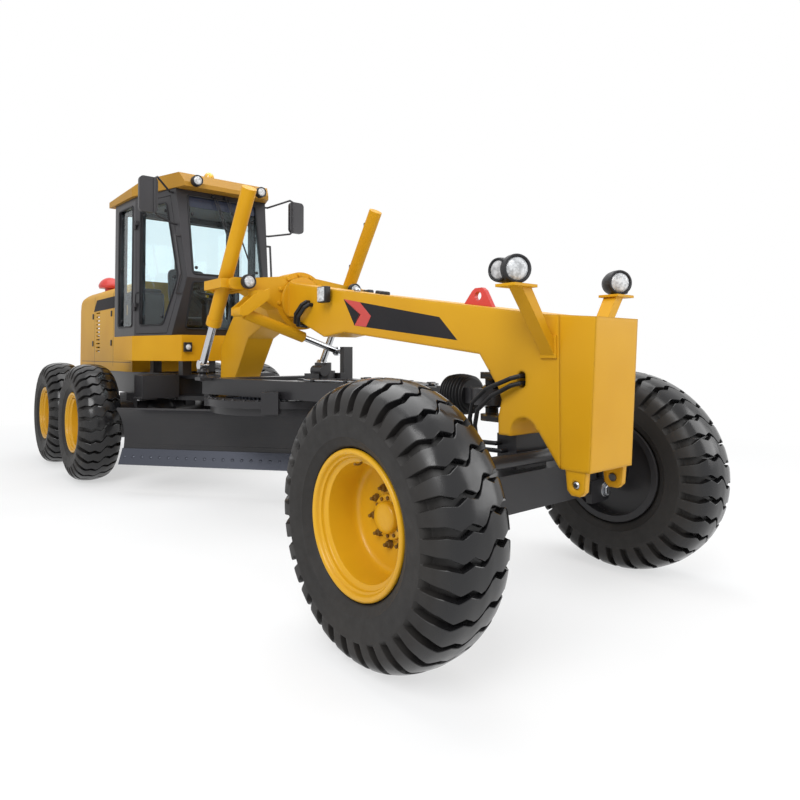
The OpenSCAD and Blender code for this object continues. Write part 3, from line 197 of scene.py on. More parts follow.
def round_box(low, high, radius=0.004, steps=3):
    """A box with rounded edges: its corners' small spheres, pulled apart by the signs of their directions."""
    low, high = np.asarray(low, float), np.asarray(high, float)
    centre, half = (low + high) / 2, (high - low) / 2 - radius
    quarter = np.linspace(0, np.pi / 2, steps + 1)
    turn = np.concatenate([quarter + k * np.pi / 2 for k in range(4)])
    side = np.repeat(np.array([[1, 1], [-1, 1], [-1, -1], [1, -1]], float), steps + 1, 0)
    rise = np.concatenate([quarter - np.pi / 2, quarter])
    top = np.repeat([-1.0, 1.0], steps + 1)
    shape = (len(rise), len(turn))
    push = np.stack([np.broadcast_to(side[:, 0], shape), np.broadcast_to(side[:, 1], shape),
                     np.broadcast_to(top[:, None], shape)], -1)
    ball = np.stack([np.cos(rise)[:, None] * np.cos(turn), np.cos(rise)[:, None] * np.sin(turn),
                     np.broadcast_to(np.sin(rise)[:, None], shape)], -1)
    grid = centre + push * half + radius * ball
    ends = [np.broadcast_to(centre + [0, 0, s * (half[2] + radius)], (1, len(turn), 3)) for s in (-1, 1)]
    return sheet_shape(np.concatenate([ends[0], grid, ends[1]]), wrap_cols=True)


def plate(outline, thickness, edge=0.001):
    """A flat plate: an outline in space, seen from one point inside it, carried along its normal and closed."""
    outline = np.asarray(outline, float)
    middle = outline.mean(0)
    normal = unit(np.cross(outline[1] - outline[0], outline[len(outline) // 2] - outline[1]))
    inner = middle + (outline - middle) * (1 - edge / np.linalg.norm(outline - middle, axis=1, keepdims=True))
    rows = [np.repeat(middle[None], len(outline), 0), inner, outline + normal * edge,
            outline + normal * (thickness - edge), inner + normal * thickness,
            np.repeat((middle + normal * thickness)[None], len(outline), 0)]
    return sheet_shape(np.stack(rows), wrap_cols=True)


def piece(name, shape, body, finish, crease=35.0):
    """Makes an object of a shape: doubles merged, faces outward, edges over the crease angle kept sharp."""
    mesh = bpy.data.meshes.new(name)
    mesh.from_pydata(shape[0].tolist(), [], shape[1].tolist())
    work = bmesh.new()
    work.from_mesh(mesh)
    bmesh.ops.remove_doubles(work, verts=work.verts, dist=1e-6)
    bmesh.ops.recalc_face_normals(work, faces=work.faces)
    work.to_mesh(mesh)
    work.free()
    mesh.shade_smooth()
    mesh.set_sharp_from_angle(angle=math.radians(crease))
    mesh.materials.append(finish)
    obj = bpy.data.objects.new(name, mesh)
    bpy.context.scene.collection.objects.link(obj)
    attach(obj, body)
    return obj


def door_pair(name, shape, finish):
    """A piece on the left door and its reflection on the right one."""
    for side, s in SIDES.items():
        piece(f"{name}_{side}", sided(shape, s), f"door_{side}", finish)


# Materials

def scaled(colour, share, lift=0.0):
    """A colour times a share, plus a lift, held at 1."""
    return tuple(min(1.0, share * c + lift) for c in colour)


class Finish:
    """A material under construction on the principled shader, read in Object coordinates."""

    def __init__(self, name):
        """Starts the material with the shader's own defaults."""
        self.material = bpy.data.materials.new(name)
        self.material.use_nodes = True
        self.tree = self.material.node_tree
        self.shader = self.tree.nodes["Principled BSDF"]
        self.place = self.node("TexCoord").outputs["Object"]

    def put(self, socket, value):
        """Joins a node's output to a socket, or sets the socket's own value, a colour as opaque."""
        if isinstance(value, bpy.types.NodeSocket):
            self.tree.links.new(value, socket)
        else:
            socket.default_value = (*value, 1.0) if socket.type == "RGBA" else value

    def fill(self, node, inputs):
        """Sets or joins inputs of a node by name, with _ for a space."""
        for name, value in inputs.items():
            self.put(node.inputs[name.replace("_", " ")], value)

    def node(self, kind, **inputs):
        """A new node with its inputs filled."""
        made = self.tree.nodes.new(f"ShaderNode{kind}")
        self.fill(made, inputs)
        return made

    def set(self, **inputs):
        """Sets or joins inputs of the principled shader."""
        self.fill(self.shader, inputs)

    def noise(self, scale, detail=4.0, rough=0.55, stretch=None):
        """Cloudy grey values from 0 to 1, at so many waves a metre, drawn out along an axis by stretch."""
        place = self.node("Mapping", Scale=stretch, Vector=self.place).outputs[0] if stretch else self.place
        return self.node("TexNoise", Scale=scale, Detail=detail, Roughness=rough, Vector=place).outputs[0]

    def wave(self, direction, scale):
        """Even stripes from 0 to 1 across one axis."""
        node = self.node("TexWave", Scale=scale, Vector=self.place)
        node.bands_direction = direction
        return node.outputs[1]

    def axis(self, index):
        """One coordinate of a point: 0 forward, 1 left, 2 up."""
        return self.node("SeparateXYZ", Vector=self.place).outputs[index]

    def span(self, value, start, end, low, high):
        """A value between start and end as a share between low and high, held at the ends."""
        return self.node("MapRange", Value=value, From_Min=start, From_Max=end, To_Min=low, To_Max=high).outputs[0]

    def math(self, operation, *values):
        """Two values joined by a sum, product or the like."""
        node = self.node("Math")
        node.operation = operation
        for socket, value in zip(node.inputs, values):
            self.put(socket, value)
        return node.outputs[0]

    def mix(self, share, first, second):
        """Two colours mixed by a share."""
        node = self.node("Mix")
        node.data_type = "RGBA"
        for index, value in ((0, share), (6, first), (7, second)):
            self.put(node.inputs[index], value)
        return node.outputs[2]

    def soft_edge(self, radius):
        """A normal rounded over edges, and a share that is 1 on sharp edges and 0 on flats."""
        bevel = self.node("Bevel", Radius=radius)
        bevel.samples = 4
        dot = self.node("VectorMath")
        dot.operation = "DOT_PRODUCT"
        self.put(dot.inputs[0], bevel.outputs[0])
        self.put(dot.inputs[1], self.node("NewGeometry").outputs["Normal"])
        return bevel.outputs[0], self.span(dot.outputs["Value"], 0.8, 0.99, 1.0, 0.0)

    def bump(self, height, strength, distance, **normal):
        """Small relief on the surface from a height, over a rounded normal if one is given."""
        relief = self.node("Bump", Strength=strength, Distance=distance, Height=height, **normal)
        self.set(Normal=relief.outputs[0])

    def within(self, index, low, high):
        """1 where a coordinate lies between low and high, and 0 elsewhere."""
        above = self.math("GREATER_THAN", self.axis(index), low)
        return self.math("MULTIPLY", above, self.math("LESS_THAN", self.axis(index), high))

    def bloom(self, dust, top_share):
        """A cloudy share of road dust, which thins with height to a part of its strength near the ground."""
        low = self.span(self.axis(2), 0.0, 1.5, dust, dust * top_share)
        return self.math("MULTIPLY", self.span(self.noise(3.2, 5), 0.38, 0.72, 0.0, 1.0), low)


def painted(name, colour, deep, gloss, dust=0.0, dust_top=1.0, coat=0.0, worn=None, mask=None, shine=0.3,
            round_edge=0.005):
    """Sprayed paint: slow drifts of tone, fine orange peel, edges made paler by rubbed wear and a painted highlight,
    and road dust that thins with height.

    A mask is a colour and the low and high corners, by length and height, of the box that has that colour.
    """
    f = Finish(name)
    drift = f.span(f.noise(0.9, 3), 0.35, 0.68, 0.0, 1.0)
    speckle = f.noise(55, 6, 0.65)
    normal, edge = f.soft_edge(round_edge)
    # Edges are lightened towards the edge colour: partly rubbed wear, partly a painted highlight where light catches
    # them.
    rub_and_highlight = f.math("MULTIPLY", edge, f.span(f.noise(16, 5, 0.7), 0.45, 0.62, 0.0, 0.55))
    base = f.mix(drift, deep, colour)
    if mask:
        tint, low, high = mask
        inside = f.math("MULTIPLY", f.within(0, low[0], high[0]), f.within(2, low[1], high[1]))
        base = f.mix(inside, base, tint)
    veil = f.span(f.axis(2), 0.1, dust_top, dust, 0.0)
    film = f.math("MULTIPLY", veil, f.span(f.noise(4.5, 5), 0.4, 0.72, 0.15, 1.0))
    f.set(Base_Color=f.mix(film, f.mix(rub_and_highlight, base, worn or scaled(colour, 1.35, 0.012)), DUST))
    f.set(Roughness=f.math("ADD", f.span(speckle, 0.3, 0.7, gloss, gloss + 0.1), f.math("MULTIPLY", film, 0.5)))
    f.set(Coat_Weight=coat, Coat_Roughness=0.08, Specular_IOR_Level=shine)
    f.bump(f.noise(210, 2), 0.05, 0.0006, Normal=normal)
    return f.material


def rubber(name, colour, dust, rough):
    """Moulded rubber: fine grained, with a brown bloom of dust that gathers low down."""
    f = Finish(name)
    f.set(Base_Color=f.mix(f.bloom(dust, 0.25), colour, DUST))
    f.set(Roughness=f.span(f.noise(24, 5), 0.3, 0.7, rough, rough + 0.16), Specular_IOR_Level=0.3)
    f.bump(f.noise(150, 4), 0.18, 0.001)
    return f.material


def tyre_rubber(name, wall, tread, dust):
    """Tyre rubber: dull brown-black walls and blue-black lug tops polished by the road, by the tread share."""
    f = Finish(name)
    share = f.node("Attribute")
    share.attribute_name = TREAD_SHARE
    worn = share.outputs["Fac"]
    f.set(Base_Color=f.mix(f.bloom(dust, 0.3), f.mix(worn, wall, tread), DUST))
    scuff = f.span(f.noise(18, 5), 0.3, 0.7, 0.0, 0.14)
    f.set(Roughness=f.math("ADD", f.span(worn, 0.0, 1.0, 0.6, 0.13), scuff), Specular_IOR_Level=0.42)
    f.bump(f.noise(150, 4), 0.18, 0.001)
    return f.material


def metal(name, colour, rough, streak):
    """Bare metal: fine streaks along one axis break up its shine."""
    f = Finish(name)
    lines = f.noise(40, 4, 0.6, streak)
    f.set(Base_Color=f.mix(f.span(lines, 0.3, 0.7, 0.0, 0.5), colour, scaled(colour, 0.62)), Metallic=1.0)
    f.set(Roughness=f.span(lines, 0.25, 0.75, rough * 0.7, rough * 1.6))
    f.bump(lines, 0.05, 0.0005)
    return f.material


def pane(name, colour, film):
    """Window glass with a pale tint and faint smears of dust."""
    f = Finish(name)
    smear = f.span(f.noise(2.4, 6, 0.7), 0.42, 0.8, 0.0, film)
    f.set(Base_Color=f.mix(smear, colour, scaled(colour, 1.1)))
    f.set(Roughness=f.span(smear, 0.0, 1.0, 0.0, 0.12), Transmission_Weight=1.0, IOR=1.25)
    return f.material


def lens(name, colour, ribs):
    """A moulded lamp lens: shiny over a dimpled bowl, with close vertical ribs."""
    f = Finish(name)
    stripes = f.wave("Y", ribs)
    cells = f.span(f.noise(46, 2), 0.38, 0.62, 0.0, 1.0)
    f.set(Base_Color=f.mix(cells, scaled(colour, 0.55), colour))
    f.set(Roughness=f.span(stripes, 0.0, 1.0, 0.06, 0.16), Coat_Weight=0.6, Coat_Roughness=0.03)
    f.bump(stripes, 0.25, 0.002)
    return f.material


def woven(name, colour):
    """Seat cloth: a close weave of two crossing threads."""
    f = Finish(name)
    weave = f.math("MULTIPLY", f.wave("X", 190.0), f.wave("Y", 190.0))
    f.set(Base_Color=f.mix(weave, colour, scaled(colour, 2.2)), Sheen_Weight=0.3)
    f.set(Roughness=f.span(f.noise(20, 3), 0.3, 0.7, 0.75, 0.92))
    f.bump(weave, 0.4, 0.0012)
    return f.material


FORK_MASK = (BLACK, (3.3, 1.03), (3.715, 1.37))
YELLOW_PAINT = painted("yellow paint", YELLOW, YELLOW_DEEP, gloss=0.38, dust=0.16, dust_top=1.2, shine=0.14)
NECK_PAINT = painted("neck paint", YELLOW, YELLOW_DEEP, gloss=0.34, dust=0.16, dust_top=1.2, coat=0.02,
                     worn=YELLOW, mask=FORK_MASK, shine=0.2, round_edge=0.026)
RIM_PAINT = painted("rim paint", (0.64, 0.345, 0.01), (0.57, 0.29, 0.008), gloss=0.3, dust=0.08,
                    dust_top=0.8, coat=0.06)
# The roof's yellow is darker and greyer than the body's: painted shade on the cab roof.
SHADED_ROOF_PAINT = painted("roof paint", (0.43, 0.225, 0.03), (0.35, 0.175, 0.022), gloss=0.42, shine=0.15)
# Black paint's edges turn a pale blue-grey: a painted highlight along its edges.
BLACK_PAINT = painted("black paint", BLACK, CHARCOAL, gloss=0.3, dust=0.05, dust_top=1.5, coat=0.08,
                      worn=(0.085, 0.088, 0.1))
GREY_PAINT = painted("dark grey paint", GREY, CHARCOAL, gloss=0.34, dust=0.02, dust_top=2.4, coat=0.05)
RED_PAINT = painted("red paint", RED, scaled(RED, 0.8), gloss=0.28, dust=0.05, dust_top=1.2, coat=0.25)
BAND_PAINT = painted("charcoal band", (0.034, 0.03, 0.031), CHARCOAL, gloss=0.55, dust=0.02, dust_top=1.2,
                     shine=0.06)
TREAD_SHARE = "tread"
TYRE_RUBBER = tyre_rubber("tyre rubber", (0.0095, 0.0082, 0.0075), (0.0085, 0.0085, 0.0095), 0.04)
SOFT_RUBBER = rubber("black rubber", (0.009, 0.009, 0.01), 0.03, 0.34)
GASKET = rubber("window rubber", (0.011, 0.011, 0.013), 0.02, 0.44)
CHROME = metal("chromed rod", STEEL, 0.12, (1.0, 1.0, 12.0))
BARE_STEEL = metal("bright steel", (0.4, 0.41, 0.43), 0.3, (1.0, 1.0, 1.0))
EDGE_STEEL = metal("edge steel", (0.075, 0.08, 0.098), 0.34, (3.0, 3.0, 30.0))
IRON = painted("cast iron grey", (0.045, 0.045, 0.047), (0.03, 0.03, 0.032), gloss=0.5, dust=0.2, dust_top=2.5)
# The wheel nuts' yellow is darkened to brown: painted shade on the nuts in the wheel's dish.
SHADED_NUT_PAINT = painted("shaded nut paint", (0.24, 0.118, 0.01), (0.06, 0.032, 0.01), gloss=0.48, dust=0.1,
                    dust_top=14.0)
GLASS = pane("window glass", (0.84, 0.95, 0.98), 0.5)
LENS_CLEAR = lens("lamp lens", LENS, 70.0)
LENS_SIDE = lens("side lens", (0.52, 0.51, 0.51), 40.0)
LENS_RED = lens("red lens", (0.62, 0.02, 0.02), 90.0)
LENS_AMBER = lens("amber lens", AMBER, 60.0)
MIRROR = metal("mirror glass", (0.82, 0.85, 0.88), 0.03, (1.0, 1.0, 1.0))
SEAT_CLOTH = woven("seat cloth", (0.02, 0.02, 0.022))
PLASTIC = painted("moulded plastic", (0.02, 0.02, 0.022), (0.015, 0.015, 0.017), gloss=0.4)
LINING = painted("cab lining", (0.15, 0.15, 0.155), (0.12, 0.12, 0.125), gloss=0.7)
SHADE = painted("shade strip", (0.03, 0.036, 0.06), (0.024, 0.03, 0.05), gloss=0.2, coat=0.2)

SLOT_FINISH = {
    "yellow_paint": YELLOW_PAINT, "rim_paint": RIM_PAINT, "black_paint": BLACK_PAINT, "grey_paint": GREY_PAINT,
    "red_paint": RED_PAINT, "tyre": TYRE_RUBBER, "boot_rubber": SOFT_RUBBER, "chrome_rod": CHROME, "glass": GLASS,
    "seat_cover": SEAT_CLOTH, "lamp_housing": PLASTIC, "amber_lens": LENS_AMBER, "engine_iron": IRON,
    "edge_steel": EDGE_STEEL,
}
NODE_FINISH = {"gooseneck": NECK_PAINT, "cab_roof": SHADED_ROOF_PAINT}
for row in frame["record"]["subparts"]:
    materials = NODES[row["node"]].data.materials
    materials.clear()
    materials.append(NODE_FINISH.get(row["node"], SLOT_FINISH[row["material_slot"]]))

# Tyres: a smooth section with deep lugs parted by kinked grooves

LUGS = 32
TYRE_R = 0.675
SECTION_HALF = [(0.3205, 0.149), (0.349, 0.164), (0.356, 0.176), (0.368, 0.186), (0.405, 0.208),
                (0.456, 0.2195), (0.505, 0.2225), (0.541, 0.2175), (0.575, 0.2075), (0.607, 0.1905),
                (0.63, 0.169), (0.651, 0.135), (0.6675, 0.078), (0.6745, 0.0)]
SECTION_STEPS = 60
GROOVE_DEPTH = 0.04
WALL_RUN = 0.004
EDGE_RUN = 0.003
TOP_STEPS = 5
RIB_PLACES = (0.322, 0.334, 0.42)
RIB_HEIGHT = 0.003
SHOULDER_FOOT = 0.57
SHOULDER_TOP = 0.64
# The groove's middle line as a share of a lug's pitch, its floor's half width and its depth's share, by place across
KINK_AT = [-0.3, -0.2, -0.135, -0.085, -0.028, 0.028, 0.085, 0.135, 0.2, 0.3]
KINK = [-0.22, -0.2, -0.34, -0.14, -0.3, 0.3, 0.14, 0.34, 0.2, 0.22]
FLOOR_AT = [0.0, 0.028, 0.05, 0.14, 0.2, 0.3]
FLOOR_HALF = [0.003, 0.005, 0.011, 0.014, 0.02, 0.026]
DEPTH_AT = [0.0, 0.028, 0.05, 0.18, 0.285, 0.315]
DEPTH_SHARE = [0.55, 0.6, 0.95, 1.0, 1.0, 0.0]
EDGE_DROP = 0.06
RIB_HALF = 0.006


def tyre_shape():
    """A tyre about the Y axis through the origin: section radius and width swept round, less groove depth.

    The rows follow the grooves: each lug's rows stand at set distances from its groove's middle line, on the
    floor, up the wall and over the lug. That line leans one way on each half of the tread and steps back in
    the middle. The grooves widen and fade over the shoulders, and low ribs run round the sidewall.
    """
    half = smooth_line(np.array(SECTION_HALF), SECTION_STEPS)
    section = np.concatenate([half * [1, -1], half[-2::-1]])
    across = np.concatenate([[0], np.cumsum(np.linalg.norm(np.diff(section, axis=0), axis=1))])
    across = across - across[len(across) // 2]
    slope = unit(np.gradient(section, axis=0))
    outward = np.stack([slope[:, 1], -slope[:, 0]], -1)
    ribs = sum(np.exp(-((np.abs(across) - a) / RIB_HALF) ** 2) for a in RIB_PLACES) * RIB_HEIGHT
    pitch = 2 * np.pi / LUGS
    line = np.interp(across, KINK_AT, KINK)
    floor = np.interp(np.abs(across), FLOOR_AT, FLOOR_HALF)
    depth = np.interp(np.abs(across), DEPTH_AT, DEPTH_SHARE) * GROOVE_DEPTH
    rise = floor + WALL_RUN
    start = rise + EDGE_RUN
    length = pitch * TYRE_R
    top = start + (length - 2 * start) * np.linspace(0, 1, TOP_STEPS)[:, None]
    place = np.concatenate([[0 * floor, floor, rise], top, [length - rise, length - floor]])
    share = np.concatenate([[1.0, 1.0, EDGE_DROP], np.zeros(TOP_STEPS), [EDGE_DROP, 1.0]])
    angle = (pitch * (np.arange(LUGS)[:, None, None] + line) + place[None] / TYRE_R).reshape(-1, len(section))
    cut = (np.tile(share, LUGS)[:, None] * depth[None] - ribs[None])
    radius = section[None, :, 0] - cut * outward[None, :, 0]
    width = section[None, :, 1] - cut * outward[None, :, 1]
    grid = np.stack([radius * np.sin(angle), np.broadcast_to(width, angle.shape), radius * np.cos(angle)], -1)
    return sheet_shape(grid, wrap_rows=True, wrap_cols=True)


def mark_tread(mesh, centre):
    """Keeps a share on each point of a tyre: 0 up to the shoulder's foot and 1 on the lug tops, by radius."""
    place = np.empty(3 * len(mesh.vertices), np.float32)
    mesh.vertices.foreach_get("co", place)
    away = place.reshape(-1, 3) - centre
    share = np.clip((np.hypot(away[:, 0], away[:, 2]) - SHOULDER_FOOT) / (SHOULDER_TOP - SHOULDER_FOOT), 0, 1)
    mesh.attributes.new(TREAD_SHARE, "FLOAT", "POINT").data.foreach_set("value", share.astype(np.float32))


# Rims: pressed flange, lock ring, deep barrel and dished disc, with nuts, cap screws and a valve

RIM_PROFILE = [
    (0.0, 0.012), (0.03, 0.0115), (0.056, 0.009), (0.07, 0.003), (0.0765, -0.006), (0.078, -0.028),
    (0.1, -0.028), (0.107, -0.031), (0.11, -0.037), (0.11, -0.064), (0.165, -0.064), (0.185, -0.062),
    (0.245, -0.056), (0.262, -0.052), (0.271, -0.044), (0.276, -0.03), (0.277, -0.01), (0.277, 0.122),
    (0.279, 0.13), (0.287, 0.134), (0.299, 0.138), (0.3025, 0.143), (0.303, 0.152), (0.3045, 0.158),
    (0.311, 0.16), (0.315, 0.165), (0.317, 0.174), (0.321, 0.182), (0.329, 0.1875), (0.338, 0.187),
    (0.345, 0.182), (0.347, 0.175), (0.346, 0.167), (0.34, 0.162), (0.322, 0.158), (0.3165, 0.15),
    (0.3165, -0.06), (0.29, -0.085), (0.11, -0.096), (0.0501, -0.096), (0.0501, -0.075), (0.0, -0.075)]
BACK_PROFILE = [
    (0.0501, -0.097), (0.11, -0.097), (0.29, -0.086), (0.3165, -0.061), (0.3165, -0.172), (0.346, -0.173),
    (0.347, -0.182), (0.342, -0.188), (0.303, -0.188), (0.303, -0.105), (0.11, -0.105), (0.11, -0.15),
    (0.0501, -0.15), (0.0501, -0.097)]
WHEEL_STEPS = 96
NUT_PROFILE = [
    (0, 0.044), (0.0085, 0.044), (0.0095, 0.041), (0.0095, 0.025), (0.0155, 0.025), (0.0175, 0.022), (0.0175, 0.006),
    (0.023, 0.006), (0.023, -0.002), (0, -0.002)]
NUT_CIRCLE = 0.142
NUT_COUNT = 10
NUT_START = 0.16
SCREW_PROFILE = [(0, 0.009), (0.0075, 0.009), (0.009, 0.007), (0.009, -0.001), (0, -0.001)]
SCREW_CIRCLE = 0.091
SCREW_COUNT = 12
VALVE_LINE = [(0.0, 0.132, 0.279), (0.0, 0.15, 0.272), (0.0, 0.176, 0.276)]
VALVE_R = 0.0055
DISC_FACE = -0.064
HUB_FACE = -0.028


def ring_turns(count, start=0.0):
    """Turn matrices about Y, spaced evenly round a circle."""
    a = np.arange(count) * 2 * np.pi / count + start
    zero, one = np.zeros_like(a), np.ones_like(a)
    return np.stack([np.cos(a), zero, np.sin(a), zero, one, zero, -np.sin(a), zero, np.cos(a)], -1).reshape(-1, 3, 3)


def wheel_nuts():
    """Hexagon nuts on washers round the disc, cap screws round the hub and a valve stem, outward along +Y."""
    nut = lathe(NUT_PROFILE, (0, DISC_FACE, NUT_CIRCLE), (0, 1, 0), 6)
    nuts = repeated(nut, ring_turns(NUT_COUNT, NUT_START), np.zeros((NUT_COUNT, 3)))
    screw = lathe(SCREW_PROFILE, (0, HUB_FACE, SCREW_CIRCLE), (0, 1, 0), 6)
    screws = repeated(screw, ring_turns(SCREW_COUNT), np.zeros((SCREW_COUNT, 3)))
    valve = tube(smooth_line(VALVE_LINE, 10), VALVE_R, 8)
    return join_shapes([nuts, screws, valve])


tyre = tyre_shape()
rim = lathe(RIM_PROFILE, (0, 0, 0), (0, 1, 0), WHEEL_STEPS)
# The rims' back halves are painted black: painted shade inside the wheels.
back = lathe(BACK_PROFILE, (0, 0, 0), (0, 1, 0), WHEEL_STEPS)
nuts = wheel_nuts()
for where, x in WHEELS.items():
    for side, s in SIDES.items():
        body = f"wheel_{where}_{side}"
        centre = np.array([x, s * WHEEL_Y, WHEEL_Z])
        for name, shape, finish, slot, crease in (("lugged_tyre", tyre, TYRE_RUBBER, "tyre", 30.0),
                                                  ("pressed_rim", rim, RIM_PAINT, "rim_paint", 40.0),
                                                  ("back_rim", back, BLACK_PAINT, "black_paint", 40.0),
                                                  ("wheel_nuts", nuts, SHADED_NUT_PAINT, "engine_iron", 35.0)):
            made = piece(f"{name}_{where}_{side}", moved(sided(shape, s), centre), body, finish, crease)
            if name == "lugged_tyre":
                mark_tread(made.data, centre)
            if name != "wheel_nuts":
                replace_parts(made, f"{name.split('_')[1]}_{where}_{side}")

# Plain bands on the neck's and the hood's sides, with a red chevron on the neck

NECK_BACK_X = 1.345
NECK_FRONT_X = 4.085
NECK_BACK_Y = 0.15
NECK_FRONT_Y = 0.2
HOOD_Y = 0.545
BAND_LIFT = 0.0006
CHEVRON_LIFT = 0.0014
BAND_T = 0.0008
BAND_EDGE = 0.0002


def neck_wall(x):
    """Half width of the neck, which grows evenly from the drum to the nose."""
    return NECK_BACK_Y + (x - NECK_BACK_X) * (NECK_FRONT_Y - NECK_BACK_Y) / (NECK_FRONT_X - NECK_BACK_X)


def on_wall(outline, wall, side, lift):
    """Points of an outline of length and height on a side wall, stood off it by lift."""
    p = np.asarray(outline, float)
    return np.stack([p[:, 0], side * (wall(p[:, 0]) + lift), p[:, 1]], -1)


BAND = [(2.205, 1.893), (3.287, 1.7), (3.448, 1.548), (2.352, 1.68)]
CHEVRON = [(2.205, 1.893), (2.42, 1.855), (2.56, 1.742), (2.5, 1.664), (2.352, 1.68), (2.43, 1.76)]
HOOD_BAND = [(-3.46, 2.25), (-1.81, 2.25), (-1.81, 2.09), (-3.62, 2.09)]


def hood_wall(x):
    """Half width of the hood, the same all along."""
    return np.full_like(x, HOOD_Y)


for side, s in SIDES.items():
    for name, outline, wall, body, finish, slot, lift in (
            ("neck_band", BAND, neck_wall, "front_frame", BAND_PAINT, "grey_paint", BAND_LIFT),
            ("neck_chevron", CHEVRON, neck_wall, "front_frame", RED_PAINT, "red_paint", CHEVRON_LIFT),
            ("hood_band", HOOD_BAND, hood_wall, "rear_frame", BAND_PAINT, "grey_paint", BAND_LIFT)):
        points = on_wall(outline, wall, s, lift)
        shape = plate(points if s < 0 else points[::-1], BAND_T, BAND_EDGE)
        piece(f"{name}_{side}", shape, body, finish)

# Lamps: domed lenses and rolled rims

LAMP_PROFILE = [(0.0, 0.016), (0.02, 0.0155), (0.036, 0.012), (0.046, 0.006), (0.05, 0.0), (0.05, -0.004),
                (0.0, -0.004)]
BEZEL_PROFILE = [(0.049, -0.004), (0.049, 0.008), (0.053, 0.012), (0.059, 0.01), (0.061, 0.004), (0.0615, -0.02),
                 (0.049, -0.02), (0.049, -0.004)]


def round_lamp(name, centre, axis, scale, body, finish):
    """A domed lens and a rolled rim, both turned profiles on the lamp's axis."""
    piece(f"{name}_lens", lathe(np.array(LAMP_PROFILE) * scale, centre, axis, 40), body, finish)
    piece(f"{name}_rim", lathe(np.array(BEZEL_PROFILE) * scale, centre, axis, 40), body, PLASTIC)


POD_X = 4.145
POD_Y = 0.485
POD_Z = 1.892
POD_TURN = math.radians(-29.0)
SIDE_LENS_Y = 0.18
SIDE_LENS_TURN = math.radians(61.0)
SIDE_LENS_BACK = 0.12
POD_AXIS = np.array([math.cos(POD_TURN), math.sin(POD_TURN), 0.0])
ARM_LAMP = (1.3863, 0.56, 2.079)
ROOF_LAMP = (-0.17, 0.38, 3.32)
SKIRT_LAMP = (-0.24, 0.44, 1.54)
NECK_LAMP_LOW = (1.955, 0.19, 1.875)
NECK_LAMP_HIGH = (2.065, 0.25, 2.005)


def pod_side(s):
    """Place and direction of a pod's side lens: beside the headlamp, turned outward and set back."""
    beside = np.array([-math.sin(POD_TURN), math.cos(POD_TURN), 0.0])
    turn = POD_TURN + s * SIDE_LENS_TURN
    axis = np.array([math.cos(turn), math.sin(turn), 0.0])
    return np.array([POD_X, s * POD_Y, POD_Z]) + s * SIDE_LENS_Y * beside - SIDE_LENS_BACK * axis, axis


HEAD_SHELL = [(0.0, 0.004), (0.07, 0.004), (0.076, 0.0), (0.077, -0.03), (0.074, -0.065), (0.064, -0.095),
              (0.044, -0.118), (0.02, -0.128), (0.0, -0.13)]
SIDE_SHELL = [(0.0, 0.003), (0.058, 0.003), (0.063, 0.0), (0.065, -0.03), (0.066, -0.065), (0.056, -0.085),
              (0.0, -0.095)]
ARM_SHELL = [(0.0, 0.002), (0.058, 0.002), (0.0625, -0.002), (0.0625, -0.03), (0.056, -0.052), (0.03, -0.064),
             (0.0, -0.0664)]


def mirror_place(place, side):
    """A place on the left, or its reflection on the right."""
    return place[0], side * place[1], place[2]


for side, s in SIDES.items():
    head = (POD_X, s * POD_Y, POD_Z)
    place, axis = pod_side(s)
    arm = mirror_place(ARM_LAMP, s)
    neck_y = sorted((s * NECK_LAMP_LOW[1], s * NECK_LAMP_HIGH[1]))
    neck_box = [(c[0], y, c[2]) for c, y in zip((NECK_LAMP_LOW, NECK_LAMP_HIGH), neck_y)]
    shells = [lathe(HEAD_SHELL, head, POD_AXIS, 48), lathe(SIDE_SHELL, place, axis, 48),
              lathe(ARM_SHELL, arm, (1, 0, 0), 40), round_box(*neck_box, 0.01)]
    made = piece(f"lamp_shells_{side}", join_shapes(shells), "front_frame", PLASTIC)
    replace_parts(made, "front_lamps")
    round_lamp(f"head_lamp_{side}", head, POD_AXIS, 1.24, "front_frame", LENS_CLEAR)
    round_lamp(f"side_lamp_{side}", place, axis, 1.02, "front_frame", LENS_SIDE)
    round_lamp(f"arm_lamp_{side}", arm, (1, 0, 0), 1.02, "front_frame", LENS_CLEAR)
    round_lamp(f"roof_lamp_{side}", mirror_place(ROOF_LAMP, s), (1, 0, 0), 0.96, "rear_frame", LENS_CLEAR)
    round_lamp(f"skirt_lamp_{side}", mirror_place(SKIRT_LAMP, s), (1, 0, 0), 0.62, "rear_frame", LENS_CLEAR)
    neck_lens = round_box((1.963, 0.248, 1.884), (2.057, 0.2555, 1.996), 0.003)
    tail_lens = round_box((-4.4705, 0.427, 1.247), (-4.463, 0.503, 1.323), 0.003)
    for name, shape, body, finish in (("neck_lens", neck_lens, "front_frame", LENS_CLEAR),
                                      ("tail_lens", tail_lens, "rear_frame", LENS_RED)):
        piece(f"{name}_{side}", sided(shape, s), body, finish)

# Cab: window rubbers, buttons, wipers, shade strip, lining, mirror faces and door handles

CAB_FRONT_X = -0.19
CAB_FOOT = (-0.43, 1.67)
CAB_WAIST = (-0.19, 2.28)
CAB_BROW = (-0.39, 3.26)
CAB_POST = (-1.07, 0.75)
CAB_REAR = (-1.69, 0.79)
CAB_FRONT_HALF = 0.48
GASKET_R = 0.011
GLASS_DEPTH = 0.026
SCREEN_HALF = 0.41
LOW_SCREEN = (1.74, 2.24)
HIGH_SCREEN = (2.32, 3.2)


def front_x(z):
    """Length of the cab's front face at a height: it leans out to the waist and back in above it."""
    return np.interp(z, [CAB_FOOT[1], CAB_WAIST[1], CAB_BROW[1]], [CAB_FOOT[0], CAB_WAIST[0], CAB_BROW[0]])


